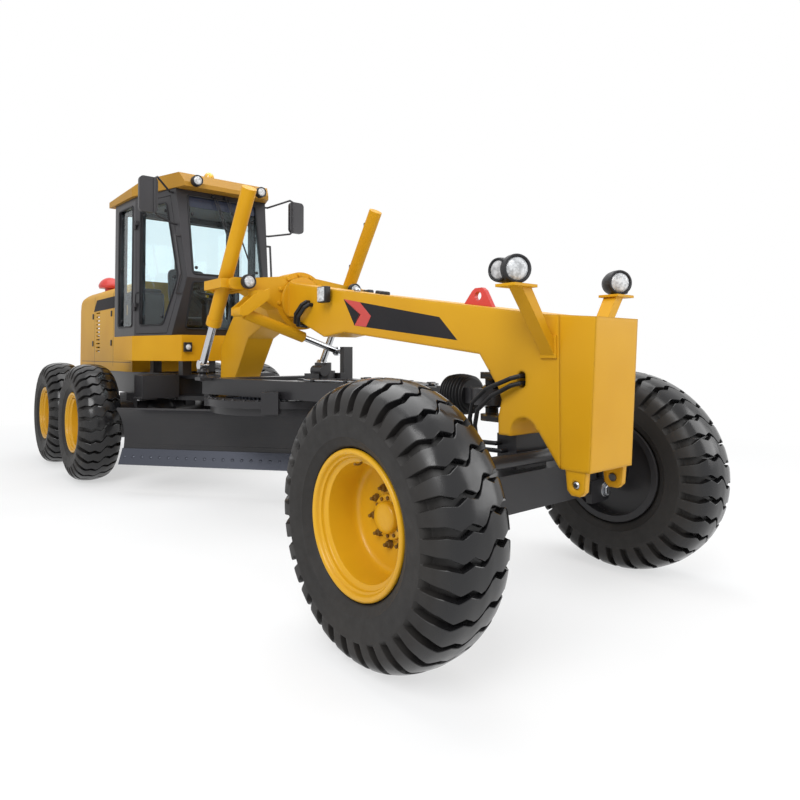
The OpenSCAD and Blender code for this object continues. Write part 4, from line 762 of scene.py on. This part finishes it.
def side_y(x):
    """Half width of the cab at a length: it widens to the door post, and less so behind it."""
    return np.interp(-np.asarray(x), [-CAB_FRONT_X, -CAB_POST[0], -CAB_REAR[0]],
                     [CAB_FRONT_HALF, CAB_POST[1], CAB_REAR[1]])


def front_pane(half, low, high):
    """An outline of width and height laid on the cab's front face."""
    p = round_corners([(-half, low), (half, low), (half, high), (-half, high)], 0.035)
    return np.stack([front_x(p[:, 1]), p[:, 0], p[:, 1]], -1)


def side_pane(outline):
    """An outline of length and height laid on the cab's left side."""
    p = round_corners(outline, 0.04)
    return np.stack([p[:, 0], side_y(p[:, 0]), p[:, 1]], -1)


QUARTER = [(-1.13, 1.78), (-1.13, 3.17), (-1.56, 3.17), (-1.56, 1.78)]
DOOR_PANE = [(-0.573, 1.786), (-0.333, 2.28), (-0.533, 3.122), (-0.972, 3.122), (-0.972, 1.786)]
rear_outline = round_corners([(-0.66, 1.93), (0.66, 1.93), (0.66, 3.17), (-0.66, 3.17)], 0.04)
rear_pane = np.insert(rear_outline, 0, CAB_REAR[0], axis=1)
quarter = loop_tube(side_pane(QUARTER), GASKET_R)
door_rubber = loop_tube(side_pane(DOOR_PANE), GASKET_R)
rubbers = [loop_tube(front_pane(SCREEN_HALF, *heights), GASKET_R) for heights in (LOW_SCREEN, HIGH_SCREEN)]
rubbers += [loop_tube(rear_pane, GASKET_R), quarter, mirrored(quarter)]
piece("window_rubbers", join_shapes(rubbers), "rear_frame", GASKET)
door_pair("door_rubber", door_rubber, GASKET)

BUTTON = [(0.0, 0.013), (0.01, 0.012), (0.016, 0.008), (0.018, 0.0), (0.018, -0.004), (0.0, -0.004)]
DOOR_BUTTONS = [(-0.63, 1.88), (-0.43, 2.3), (-0.58, 3.04), (-0.93, 1.88), (-0.93, 2.48), (-0.93, 3.04)]


def front_button(y, z):
    """A round clamp on the windscreen, square to the front face."""
    lean = unit([CAB_BROW[1] - CAB_WAIST[1], 0, CAB_WAIST[0] - CAB_BROW[0]]) if z > CAB_WAIST[1] else unit(
        [CAB_WAIST[1] - CAB_FOOT[1], 0, CAB_FOOT[0] - CAB_WAIST[0]])
    return lathe(BUTTON, np.array([front_x(z), y, z]) - GLASS_DEPTH * lean, lean, 16)


def side_button(x, z):
    """A round clamp on a side pane, square to the cab's left side."""
    step = 0.01
    lean = unit([side_y(x - step) - side_y(x), step, 0.0])
    return lathe(BUTTON, np.array([x, side_y(x), z]) - GLASS_DEPTH * lean, lean, 16)


screen_buttons = join_shapes([front_button(y, z) for y in (-0.36, 0.36) for z in (1.8, 2.4, 3.0)]
                             + [both_sides(side_button(x, z)) for x in (-1.18, -1.51) for z in (1.86, 2.48, 3.08)])
piece("pane_buttons", screen_buttons, "rear_frame", PLASTIC)
door_pair("door_buttons", join_shapes([side_button(x, z) for x, z in DOOR_BUTTONS]), PLASTIC)

WIPER_HUB = [(0, 0.03), (0.016, 0.028), (0.02, 0.02), (0.02, -0.012), (0, -0.012)]
WIPER_Z = 3.225
WIPER_R = 0.0055
BLADE_R = 0.009


def on_screen(y, z, lift):
    """A point on the windscreen, stood off it by lift."""
    return np.array([front_x(z) + lift, y, z])


def wiper(y0, reach):
    """A hub on the brow, a bent arm of two rods and a blade whose rubber follows the glass."""
    hub = lathe(WIPER_HUB, on_screen(y0, WIPER_Z, 0.0), (1, 0, 0.2), 20)
    arm = [tube(smooth_line([on_screen(y0 + k, WIPER_Z, 0.02), on_screen(y0 + k + 0.4 * reach, 3.05, 0.034),
                             on_screen(y0 + k + reach, 2.8, 0.026)], 14), WIPER_R, 8) for k in (0.0, 0.03)]
    blade = tube(smooth_line([on_screen(y0 + 0.5 * reach, 3.08, 0.01), on_screen(y0 + reach + 0.015, 2.8, 0.01),
                              on_screen(y0 + 1.5 * reach + 0.03, 2.52, 0.01)], 14), BLADE_R, 8)
    return join_shapes([hub, *arm, blade])


piece("screen_wipers", join_shapes([wiper(0.03, 0.13), wiper(-0.12, 0.12)]), "rear_frame", PLASTIC)
low_lines = [smooth_line([on_screen(y, 1.765, 0.014), on_screen(y - 0.03, 1.9, 0.024),
                          on_screen(y - 0.06, 2.06, 0.012)], 12) for y in (0.16, -0.16)]
low_wiper = join_shapes([tube(line, WIPER_R, 8) for line in low_lines])
piece("low_wipers", low_wiper, "rear_frame", PLASTIC)

shade_shape = plate(front_pane(0.402, 3.075, 3.197) - [0.018, 0, 0], 0.002, 0.0005)
piece("screen_shade", shade_shape, "rear_frame", SHADE)

LINING_Z = 3.24
lining_plan = np.array([(-0.47, 0.49), (-1.07, 0.67), (-1.62, 0.71), (-1.62, -0.71), (-1.07, -0.67), (-0.47, -0.49)])
lining_round = round_corners(lining_plan, 0.05)
lining = plate(np.insert(lining_round, 2, LINING_Z, axis=1), 0.016, 0.004)
piece("roof_lining", lining, "rear_frame", LINING)

MIRROR_AT = np.array([-0.2625, 0.88, 3.1])
mirror_outline = round_corners([(-0.083, -0.172), (0.083, -0.172), (0.083, 0.172), (-0.083, 0.172)], 0.035)
mirror_face = MIRROR_AT + np.insert(mirror_outline, 0, 0.0, axis=1)
piece("mirror_faces", both_sides(plate(mirror_face[::-1], 0.002, 0.0006)), "rear_frame", MIRROR)

HANDLE_X = -0.995
HANDLE_R = 0.008
HANDLE = [(-0.004, 2.02), (0.03, 2.03), (0.036, 2.09), (0.03, 2.15), (-0.004, 2.16)]
handle_line = smooth_line([(HANDLE_X, side_y(HANDLE_X) + out, z) for out, z in HANDLE], 22)
door_pair("door_handle", tube(handle_line, HANDLE_R, 10), PLASTIC)

# Seat: crowned cushions with sewn channels on a bellows, and levers beside the steering column

SEAT_X = -1.18
SEAT_LOW = 1.45
CUSHION_Z = 1.78
CHANNEL_HALF = 0.008
CHANNEL_DEPTH = 0.012


def signed_power(v, exponent):
    """The size of v raised to a power, with v's sign kept."""
    return np.sign(v) * np.abs(v) ** exponent


def cushion_form(half, height, crown, pull, channels):
    """A closed pillow about the origin: a rounded square in plan whose sides pull in, flat below and crowned above.

    Plan and side are superellipses. The top rises by the crown where both are near the middle, and narrow
    dips run across it at the channels, given as places along the first axis.
    """
    turn = np.linspace(0, 2 * np.pi, 96, endpoint=False)
    rise = np.linspace(-np.pi / 2, np.pi / 2, 33)[:, None]
    waist = 1 - pull * np.cos(2 * turn) ** 2
    wide = signed_power(np.cos(rise), 0.28) * waist
    x = half[0] * wide * signed_power(np.cos(turn), 0.3)
    y = half[1] * wide * signed_power(np.sin(turn), 0.3)
    z = height / 2 * signed_power(np.sin(rise), 0.45) * np.ones_like(turn)
    swell = np.clip(1 - (x / half[0]) ** 2, 0, 1) * np.clip(1 - (y / half[1]) ** 2, 0, 1)
    dips = sum(np.exp(-((x - c) / CHANNEL_HALF) ** 2) for c in channels)
    z = z + np.where(z > 0, crown * swell - CHANNEL_DEPTH * dips, 0.0)
    return sheet_shape(np.stack([x, y, z], -1), wrap_cols=True)


def tilted(shape, angle, offset):
    """The shape turned about the Y axis and moved."""
    c, s = math.cos(angle), math.sin(angle)
    return shape[0] @ np.array([[c, 0, -s], [0, 1, 0], [s, 0, c]]) + np.asarray(offset, float), shape[1]


BACK_LEAN = math.radians(81.0)
seat_pad = moved(cushion_form(half=(0.228, 0.258), height=0.112, crown=0.026, pull=0.025,
                              channels=(-0.11, 0.0, 0.11)),
                 (SEAT_X + 0.01, 0, CUSHION_Z + 0.06))
back_pad = tilted(cushion_form(half=(0.318, 0.238), height=0.1, crown=0.022, pull=0.03, channels=(-0.16, 0.0, 0.16)),
                  BACK_LEAN, (SEAT_X - 0.212, 0, CUSHION_Z + 0.435))
seat_pieces = [piece("seat_cushion", seat_pad, "rear_frame", SEAT_CLOTH, 60.0),
               piece("seat_back", back_pad, "rear_frame", SEAT_CLOTH, 60.0)]
BELLOWS_HALF = 0.142
BELLOWS_FOLD = 0.008
BELLOWS_PITCH = 0.0335
bellows_z = np.linspace(SEAT_LOW, CUSHION_Z + 0.004, 41)
bellows_half = BELLOWS_HALF + BELLOWS_FOLD * np.cos((bellows_z - SEAT_LOW) / BELLOWS_PITCH * 2 * np.pi)
square = round_corners([(-1, -1), (1, -1), (1, 1), (-1, 1)], 0.25)
bellows_grid = np.stack([SEAT_X + bellows_half[:, None] * square[:, 0], bellows_half[:, None] * square[:, 1],
                         np.broadcast_to(bellows_z[:, None], (len(bellows_z), len(square)))], -1)
seat_ends = [np.broadcast_to([SEAT_X, 0, z], (1, len(square), 3)) for z in (bellows_z[0], bellows_z[-1])]
seat_bellows = sheet_shape(np.concatenate([seat_ends[0], bellows_grid, seat_ends[1]]), wrap_cols=True)
seat_pieces.append(piece("seat_bellows", seat_bellows, "rear_frame", SOFT_RUBBER))
for made in seat_pieces:
    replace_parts(made, "seat")

KNOB = [(0.0, 0.04), (0.01, 0.038), (0.016, 0.03), (0.017, 0.02), (0.012, 0.006), (0.008, 0.0)]
LEVER_COUNT = 4
LEVER_R = 0.006
levers = []
for k in range(LEVER_COUNT):
    low = np.array([-0.565 - 0.02 * k, 0.1, 2.02])
    high = np.array([-0.6 - 0.026 * k, 0.17 + 0.012 * k, 2.2])
    rod = smooth_line([low, (low + high) / 2 + [0.0, 0.018, 0.0], high], 10)
    levers += [tube(rod, LEVER_R, 8), lathe(KNOB, high, high - low, 14)]
piece("control_levers", both_sides(join_shapes(levers)), "rear_frame", PLASTIC)

CONSOLE = [(-1.64, -0.66, 1.67), (-1.13, -0.37, 2.19)]
ARM_REST = [(-1.6, -0.64, 2.18), (-1.18, -0.39, 2.235)]
console = join_shapes([round_box(*CONSOLE, 0.04, 5), round_box(*ARM_REST, 0.024, 4)])
piece("side_console", console, "rear_frame", PLASTIC)

# Fasteners and small fittings on the neck, saddle, circle, blade and axle

SADDLE_AT = (0.0, 1.947)
CIRCLE_AT = np.array([1.05, 0.0])
BLADE_TURN = math.radians(40.0)
# Profiles as shares of a bolt's radius and height
HEX_HEAD = np.array([(0, 1), (0.86, 1), (1, 0.86), (1, 0.2), (0, 0.2)])
HEX_WASHER = np.array([(0, 0.25), (1.3, 0.25), (1.35, 0.15), (1.35, -0.1), (0, -0.1)])


def hex_bolt(radius, height):
    """A hexagon head on a round washer, standing on the origin along +Z."""
    size = np.array([radius, height])
    return join_shapes([lathe(HEX_HEAD * size, sides=6), lathe(HEX_WASHER * size, sides=14)])


def stand(axes):
    """Turn matrices that take +Z to each of the axes."""
    axes = unit(np.atleast_2d(np.asarray(axes, float)))
    first, second = cross_frame(axes)
    return np.stack([first, second, axes], -1)


def bolts(places, axes, radius, height):
    """Bolt heads at places, each standing along its axis."""
    places = np.atleast_2d(np.asarray(places, float))
    axes = np.broadcast_to(np.asarray(axes, float), places.shape)
    return repeated(hex_bolt(radius, height), stand(axes), places)


def circle_places(count, radius, start=0.0):
    """Even places round a circle, as cosine and sine times the radius."""
    a = np.arange(count) * 2 * np.pi / count + start
    return radius * np.stack([np.cos(a), np.sin(a)], -1)


SADDLE_FRONT_X = 1.32
SADDLE_BACK_X = 1.11
SADDLE_BOLTS = 12
SHIFT_ROOM_Z = -0.06
ring = circle_places(SADDLE_BOLTS, 0.239, 0.13)
# The lower front heads are left out, because the shift cylinder swings past there
ring_front = np.insert(ring + SADDLE_AT, 0, SADDLE_FRONT_X, axis=1)[ring[:, 1] > SHIFT_ROOM_Z]
ring_back = np.insert(ring + SADDLE_AT, 0, SADDLE_BACK_X, axis=1)
saddle_bolts = [bolts(ring_front, (1, 0, 0), 0.016, 0.016), bolts(ring_back, (-1, 0, 0), 0.016, 0.016)]
piece("saddle_bolts", join_shapes(saddle_bolts), "front_frame", YELLOW_PAINT)

CIRCLE_BOLTS = 36
CIRCLE_TOP_Z = 1.07
rim_places = np.insert(circle_places(CIRCLE_BOLTS, 0.7) + CIRCLE_AT, 2, CIRCLE_TOP_Z, axis=1)
piece("circle_bolts", bolts(rim_places, (0, 0, 1), 0.013, 0.011), "circle", BLACK_PAINT)

TEETH = 72
TOOTH_STEPS = 8
TOOTH_R = 0.545
TOOTH_HALF = 0.011
TEETH_BACK_R = 0.563
TEETH_Z = (0.962, 1.052)
TOOTH_CHAMFER = 0.004


def circle_teeth():
    """Gear teeth inside the circle: a closed section swept round, its inner radius waving with the teeth."""
    turn = np.linspace(0, 2 * np.pi, TEETH * TOOTH_STEPS, endpoint=False)
    inner = TOOTH_R + TOOTH_HALF * np.clip(1.6 * np.cos(turn * TEETH), -1, 1)
    back = np.full_like(turn, TEETH_BACK_R)
    low, high = TEETH_Z
    rows = [(back, low), (inner, low + TOOTH_CHAMFER), (inner, high - TOOTH_CHAMFER), (back, high)]
    grid = [np.stack([CIRCLE_AT[0] + r * np.cos(turn), r * np.sin(turn), np.full_like(turn, z)], -1) for r, z in rows]
    return sheet_shape(np.stack(grid), wrap_rows=True, wrap_cols=True)


piece("circle_teeth", circle_teeth(), "circle", EDGE_STEEL, 25.0)


BLADE_SHIFT = 0.16


def blade_place(u, v):
    """A point of the blade's own length and depth, turned with the circle and moved to its centre."""
    c, s = math.cos(BLADE_TURN), math.sin(BLADE_TURN)
    a, b = u - BLADE_SHIFT, -v
    return np.stack([CIRCLE_AT[0] + a * c - b * s, CIRCLE_AT[1] + a * s + b * c], -1)


run = np.arange(-1.7, 1.71, 0.1)
EDGE_DEPTH = -0.2615
EDGE_BOLT_Z = 0.4
edge_places = np.insert(blade_place(run, EDGE_DEPTH), 2, EDGE_BOLT_Z, axis=1)
edge_normal = np.append((blade_place(0.0, 1.0) - blade_place(0.0, 0.0)) * 0.905, 0.424)
PLOW_HEAD = [(0, 0.006), (0.008, 0.0055), (0.014, 0.003), (0.017, 0.0005), (0.017, -0.003), (0, -0.003)]
plow_head = lathe(PLOW_HEAD, sides=18)
edge_bolts = repeated(plow_head, np.repeat(stand(edge_normal), len(run), 0), edge_places)
piece("edge_bolts", edge_bolts, "moldboard", EDGE_STEEL)

LEAN_PIN_X = 0.13
LEAN_PIN_Y = 0.64
LEAN_PIN_Z = 0.6
axle_nuts = [bolts([(FRONT_X + k * LEAN_PIN_X, y, LEAN_PIN_Z)], (k, 0, 0), 0.034, 0.026)
             for k in (-1, 1) for y in (-LEAN_PIN_Y, LEAN_PIN_Y)]
piece("axle_nuts", join_shapes(axle_nuts), "front_frame", BARE_STEEL)

TOW_PIN = [(0.0, 0.196), (0.012, 0.196), (0.019, 0.191), (0.02, 0.184), (0.0205, 0.15), (0.0, 0.15)]
tow_ends = [lathe(TOW_PIN, (4.28, 0, 0.79), (0, s, 0), 24) for s in (1, -1)]
piece("tow_pin_ends", join_shapes(tow_ends), "front_frame", BARE_STEEL)

BREATHER = [(0.0, 0.034), (0.018, 0.032), (0.029, 0.024), (0.032, 0.012), (0.027, 0.008), (0.027, -0.01),
            (0.0, -0.01)]
CAP_PLUG = [(0.0, 0.026), (0.03, 0.026), (0.038, 0.022), (0.04, 0.012), (0.04, -0.012), (0.0, -0.012)]
NECK_UP = (0.18, 0, 1)
breather = lathe(BREATHER, (2.16, 0.0, 1.966), NECK_UP, 28)
piece("neck_breather", breather, "front_frame", BARE_STEEL)
caps = [lathe(CAP_PLUG, place, NECK_UP, 28) for place in ((2.51, 0.0, 1.914), (2.4, 0.045, 1.93))]
piece("neck_caps", join_shapes(caps), "front_frame", PLASTIC)

CUP = [(0, 1.345), (0.03, 1.343), (0.046, 1.325), (0.052, 1.304), (0.052, 1.296), (0.047, 1.296),
       (0.038, 1.307), (0, 1.312)]
LIFT_EYE = (0.66, 0.66, 1.363)
for side, s in SIDES.items():
    cup = lathe(CUP, (LIFT_EYE[0], s * LIFT_EYE[1], 0.0), (0, 0, 1), 32)
    piece(f"rod_cup_{side}", cup, f"lift_rod_{side}", BLACK_PAINT)

# Pipes along the drawbar's rails, and treads on the step boxes

RAIL_FRONT = (3.2, 0.01)
RAIL_SPREAD = 0.2083
PIPE_RUN = (1.85, 3.02)
PIPE_Z = 1.2515
PIPE_HUMP = 0.0015
PIPE_PITCH = 0.29
PIPE_R = 0.0085
PIPE_HALF_GAP = 0.012
CLAMP_X = (1.95, 2.3, 2.65, 2.95)


def drawbar_rail(x):
    """Middle line of the left drawbar rail, which spreads towards the circle."""
    return RAIL_FRONT[1] + (RAIL_FRONT[0] - x) * RAIL_SPREAD


def rail_pipes():
    """Two steel pipes along the rail's top, each a circle carried along a line with low humps, and their clamps."""
    x = np.linspace(*PIPE_RUN, 60)
    lift = PIPE_Z + PIPE_HUMP * np.cos((x - PIPE_RUN[0]) / PIPE_PITCH * 2 * np.pi)
    pipes = [tube(np.stack([x, drawbar_rail(x) + k, lift], -1), PIPE_R, 8) for k in (-PIPE_HALF_GAP, PIPE_HALF_GAP)]
    clamp = round_box((-0.018, -0.03, 1.238), (0.018, 0.03, 1.266), 0.005)
    clamps = [moved(clamp, (c, drawbar_rail(c), 0)) for c in CLAMP_X]
    return join_shapes(pipes), join_shapes(clamps)


pipes, clamps = rail_pipes()
piece("drawbar_pipes", both_sides(pipes), "drawbar", BARE_STEEL)
piece("drawbar_clamps", both_sides(clamps), "drawbar", BLACK_PAINT)

STEP_RIBS = 5
STEP_PITCH = 0.035
rib = round_box((-0.872, 0.65, 0.988), (-0.608, 0.662, 0.996), 0.003)
ribs = [moved(rib, (0, STEP_PITCH * k, 0)) for k in range(STEP_RIBS)]
piece("step_ribs", both_sides(join_shapes(ribs)), "rear_frame", BLACK_PAINT)

# Barrel fittings: a pipe from the cap to the gland on each lift cylinder

BARREL_AXIS = np.array([0.531, 0.0, 0.847])
BARREL_BACK = np.array([-0.847, 0.0, 0.531])
BARREL_PIPE = [(0.97, 0.058), (0.98, 0.08), (1.06, 0.086), (1.4, 0.086), (1.62, 0.086), (1.66, 0.08), (1.67, 0.055)]
BARREL_PIPE_R = 0.0095
GRIPS = [(1.1, 0.07), (1.55, 0.07)]


def on_barrel(side, along, back):
    """A place along a lift cylinder from its rod's eye, stood off its axis to the back."""
    return np.array(mirror_place(LIFT_EYE, side)) + BARREL_AXIS * along + BARREL_BACK * back


grip = round_box((-0.016, -0.022, -0.022), (0.016, 0.022, 0.022), 0.006)
for side, s in SIDES.items():
    pipe = tube(smooth_line([on_barrel(s, *place) for place in BARREL_PIPE], 40), BARREL_PIPE_R, 10)
    grips = join_shapes([moved(grip, on_barrel(s, *place)) for place in GRIPS])
    piece(f"barrel_pipe_{side}", pipe, f"lift_barrel_{side}", BLACK_PAINT)
    piece(f"barrel_grips_{side}", grips, f"lift_barrel_{side}", BLACK_PAINT)

# Hood: panel seams and latches

SEAM_W = 0.007
SEAM_T = 0.0006
SEAM_X = (-2.62, -3.56)
SEAM_LOW_Z = 1.36
LATCHES = [(-2.7, 1.62), (-2.7, 2.02), (-3.64, 1.62), (-3.64, 2.02)]


def hood_strip(x0, z0, x1, z1):
    """A thin dark strip on the hood's left side between two points, standing just proud of it."""
    a, b = np.array([x0, z0]), np.array([x1, z1])
    n = SEAM_W / 2 * np.array([-(b - a)[1], (b - a)[0]]) / np.linalg.norm(b - a)
    p = np.array([a - n, b - n, b + n, a + n])
    return plate(np.insert(p[::-1], 1, HOOD_Y, axis=1), SEAM_T, BAND_EDGE)


seams = [hood_strip(x, 1.3, x, 2.3) for x in SEAM_X] + [hood_strip(-4.3, SEAM_LOW_Z, -1.85, SEAM_LOW_Z)]
piece("hood_seams", both_sides(join_shapes(seams)), "rear_frame", GASKET)
latch = round_box((-0.022, HOOD_Y - 0.002, -0.04), (0.022, HOOD_Y + 0.012, 0.04), 0.006)
latches = [moved(latch, (x, 0, z)) for x, z in LATCHES]
piece("hood_latches", both_sides(join_shapes(latches)), "rear_frame", PLASTIC)

# Bellows of the drawbar's ball joint: a ribbed tube, thickest in the middle

BOOT_LOW, BOOT_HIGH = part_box("drawbar_boot")
BOOT_RIBS = 8
boot_run = np.linspace(0, 1, 16 * BOOT_RIBS + 1)
boot_r = (BOOT_HIGH[2] - BOOT_LOW[2]) / 2
boot_length = BOOT_HIGH[0] - BOOT_LOW[0]
folds = 0.93 - 0.07 * np.cos(2 * np.pi * BOOT_RIBS * boot_run)
belly = 0.9 + 0.1 * np.sin(np.pi * boot_run)
boot_profile = np.stack([boot_r * folds * belly, boot_run * boot_length], -1)
boot_profile = np.concatenate([[(0.0, 0.0)], boot_profile, [(0.0, boot_length)]])
boot = lathe(boot_profile, (BOOT_LOW[0], 0.0, (BOOT_LOW[2] + BOOT_HIGH[2]) / 2), (1, 0, 0), 48)
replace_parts(piece("ball_bellows", boot, "drawbar", SOFT_RUBBER, 50.0), "drawbar_boot")

# Studio: floor, light and camera

CAMERA_AT = (6.1131, -2.9658, 1.4591)
CAMERA_YAW = math.radians(141.411)
CAMERA_PITCH = math.radians(1.58)
FOCAL_PX = 615.14
CENTRE_PX = (375.44, 337.61)
FRAME_PX = 800.0
SENSOR_MM = 36.0


def make_camera():
    """Camera at the photo's station, with the shift that puts the optical axis on its pixel."""
    data = bpy.data.cameras.new("camera")
    data.sensor_width = SENSOR_MM
    data.lens = FOCAL_PX / FRAME_PX * SENSOR_MM
    data.shift_x = 0.5 - CENTRE_PX[0] / FRAME_PX
    data.shift_y = CENTRE_PX[1] / FRAME_PX - 0.5
    data.clip_end = 300.0
    camera = bpy.data.objects.new("camera", data)
    camera.location = CAMERA_AT
    look = Vector((math.cos(CAMERA_PITCH) * math.cos(CAMERA_YAW), math.cos(CAMERA_PITCH) * math.sin(CAMERA_YAW),
                   math.sin(CAMERA_PITCH)))
    camera.rotation_euler = look.to_track_quat("-Z", "Y").to_euler()
    bpy.context.scene.collection.objects.link(camera)
    bpy.context.scene.camera = camera


def area_light(name, place, target, size, power):
    """A square soft light aimed at a point."""
    data = bpy.data.lights.new(name, "AREA")
    data.size = size
    data.energy = power
    light = bpy.data.objects.new(name, data)
    light.location = place
    light.rotation_euler = (Vector(target) - Vector(place)).to_track_quat("-Z", "Y").to_euler()
    bpy.context.scene.collection.objects.link(light)


def seen_directly(tree):
    """A share that is 1 for what the camera, gloss or glass see, and 0 for light on its way to a surface."""
    path = tree.nodes.new("ShaderNodeLightPath")
    seen = path.outputs["Is Camera Ray"]
    for way in ("Is Glossy Ray", "Is Transmission Ray"):
        either = tree.nodes.new("ShaderNodeMath")
        either.operation = "MAXIMUM"
        tree.links.new(seen, either.inputs[0])
        tree.links.new(path.outputs[way], either.inputs[1])
        seen = either.outputs[0]
    return seen


def blend_shaders(tree, share, first, second, output):
    """Joins two shaders, the second by a share, to an output node."""
    blend = tree.nodes.new("ShaderNodeMixShader")
    for socket, source in zip(blend.inputs, (share, first.outputs[0], second.outputs[0])):
        tree.links.new(source, socket)
    tree.links.new(blend.outputs[0], tree.nodes[output].inputs[0])


FLOOR_HALF_SIZE = 80.0


def make_floor():
    """A wide pale floor that takes shadows near the machine and is plain white to the camera further out."""
    grid = FLOOR_HALF_SIZE * np.array([[[-1, -1, 0], [1, -1, 0]], [[-1, 1, 0], [1, 1, 0]]], float)
    points, faces = sheet_shape(grid)
    mesh = bpy.data.meshes.new("floor")
    mesh.from_pydata(points.tolist(), [], faces.tolist())
    floor = bpy.data.objects.new("floor", mesh)
    bpy.context.scene.collection.objects.link(floor)
    f = Finish("pale floor")
    cloud = f.span(f.noise(0.7, 3), 0.3, 0.7, 0.0, 1.0)
    f.set(Base_Color=f.mix(cloud, (0.86, 0.86, 0.86), (0.89, 0.89, 0.89)), Roughness=0.85)
    away = f.node("VectorMath")
    away.operation = "LENGTH"
    f.put(away.inputs[0], f.place)
    share = f.math("MULTIPLY", seen_directly(f.tree), f.span(away.outputs["Value"], 3.0, 9.0, 0.55, 1.0))
    blend_shaders(f.tree, share, f.shader, f.node("Emission"), "Material Output")
    mesh.materials.append(f.material)


def make_world():
    """Even pale light from all round, and plain white where the camera, gloss or glass look past the floor."""
    world = bpy.data.worlds.new("studio")
    bpy.context.scene.world = world
    world.use_nodes = True
    nodes = world.node_tree.nodes
    soft = nodes["Background"]
    soft.inputs["Color"].default_value = (0.92, 0.96, 1.0, 1.0)
    soft.inputs["Strength"].default_value = 0.5
    white = nodes.new("ShaderNodeBackground")
    white.inputs["Color"].default_value = (1.0, 1.0, 1.0, 1.0)
    blend_shaders(world.node_tree, seen_directly(world.node_tree), soft, white, "World Output")


make_camera()
make_floor()
make_world()
area_light("key", place=(7.0, -7.5, 8.0), target=(0.5, 0, 1.0), size=6.0, power=820.0)
area_light("overhead", place=(0.0, 1.0, 9.5), target=(0, 0, 1.0), size=9.0, power=620.0)
area_light("fill", place=(9.0, 5.0, 4.0), target=(1.0, 0, 1.0), size=5.0, power=230.0)
bpy.context.scene.view_settings.view_transform = "Standard"
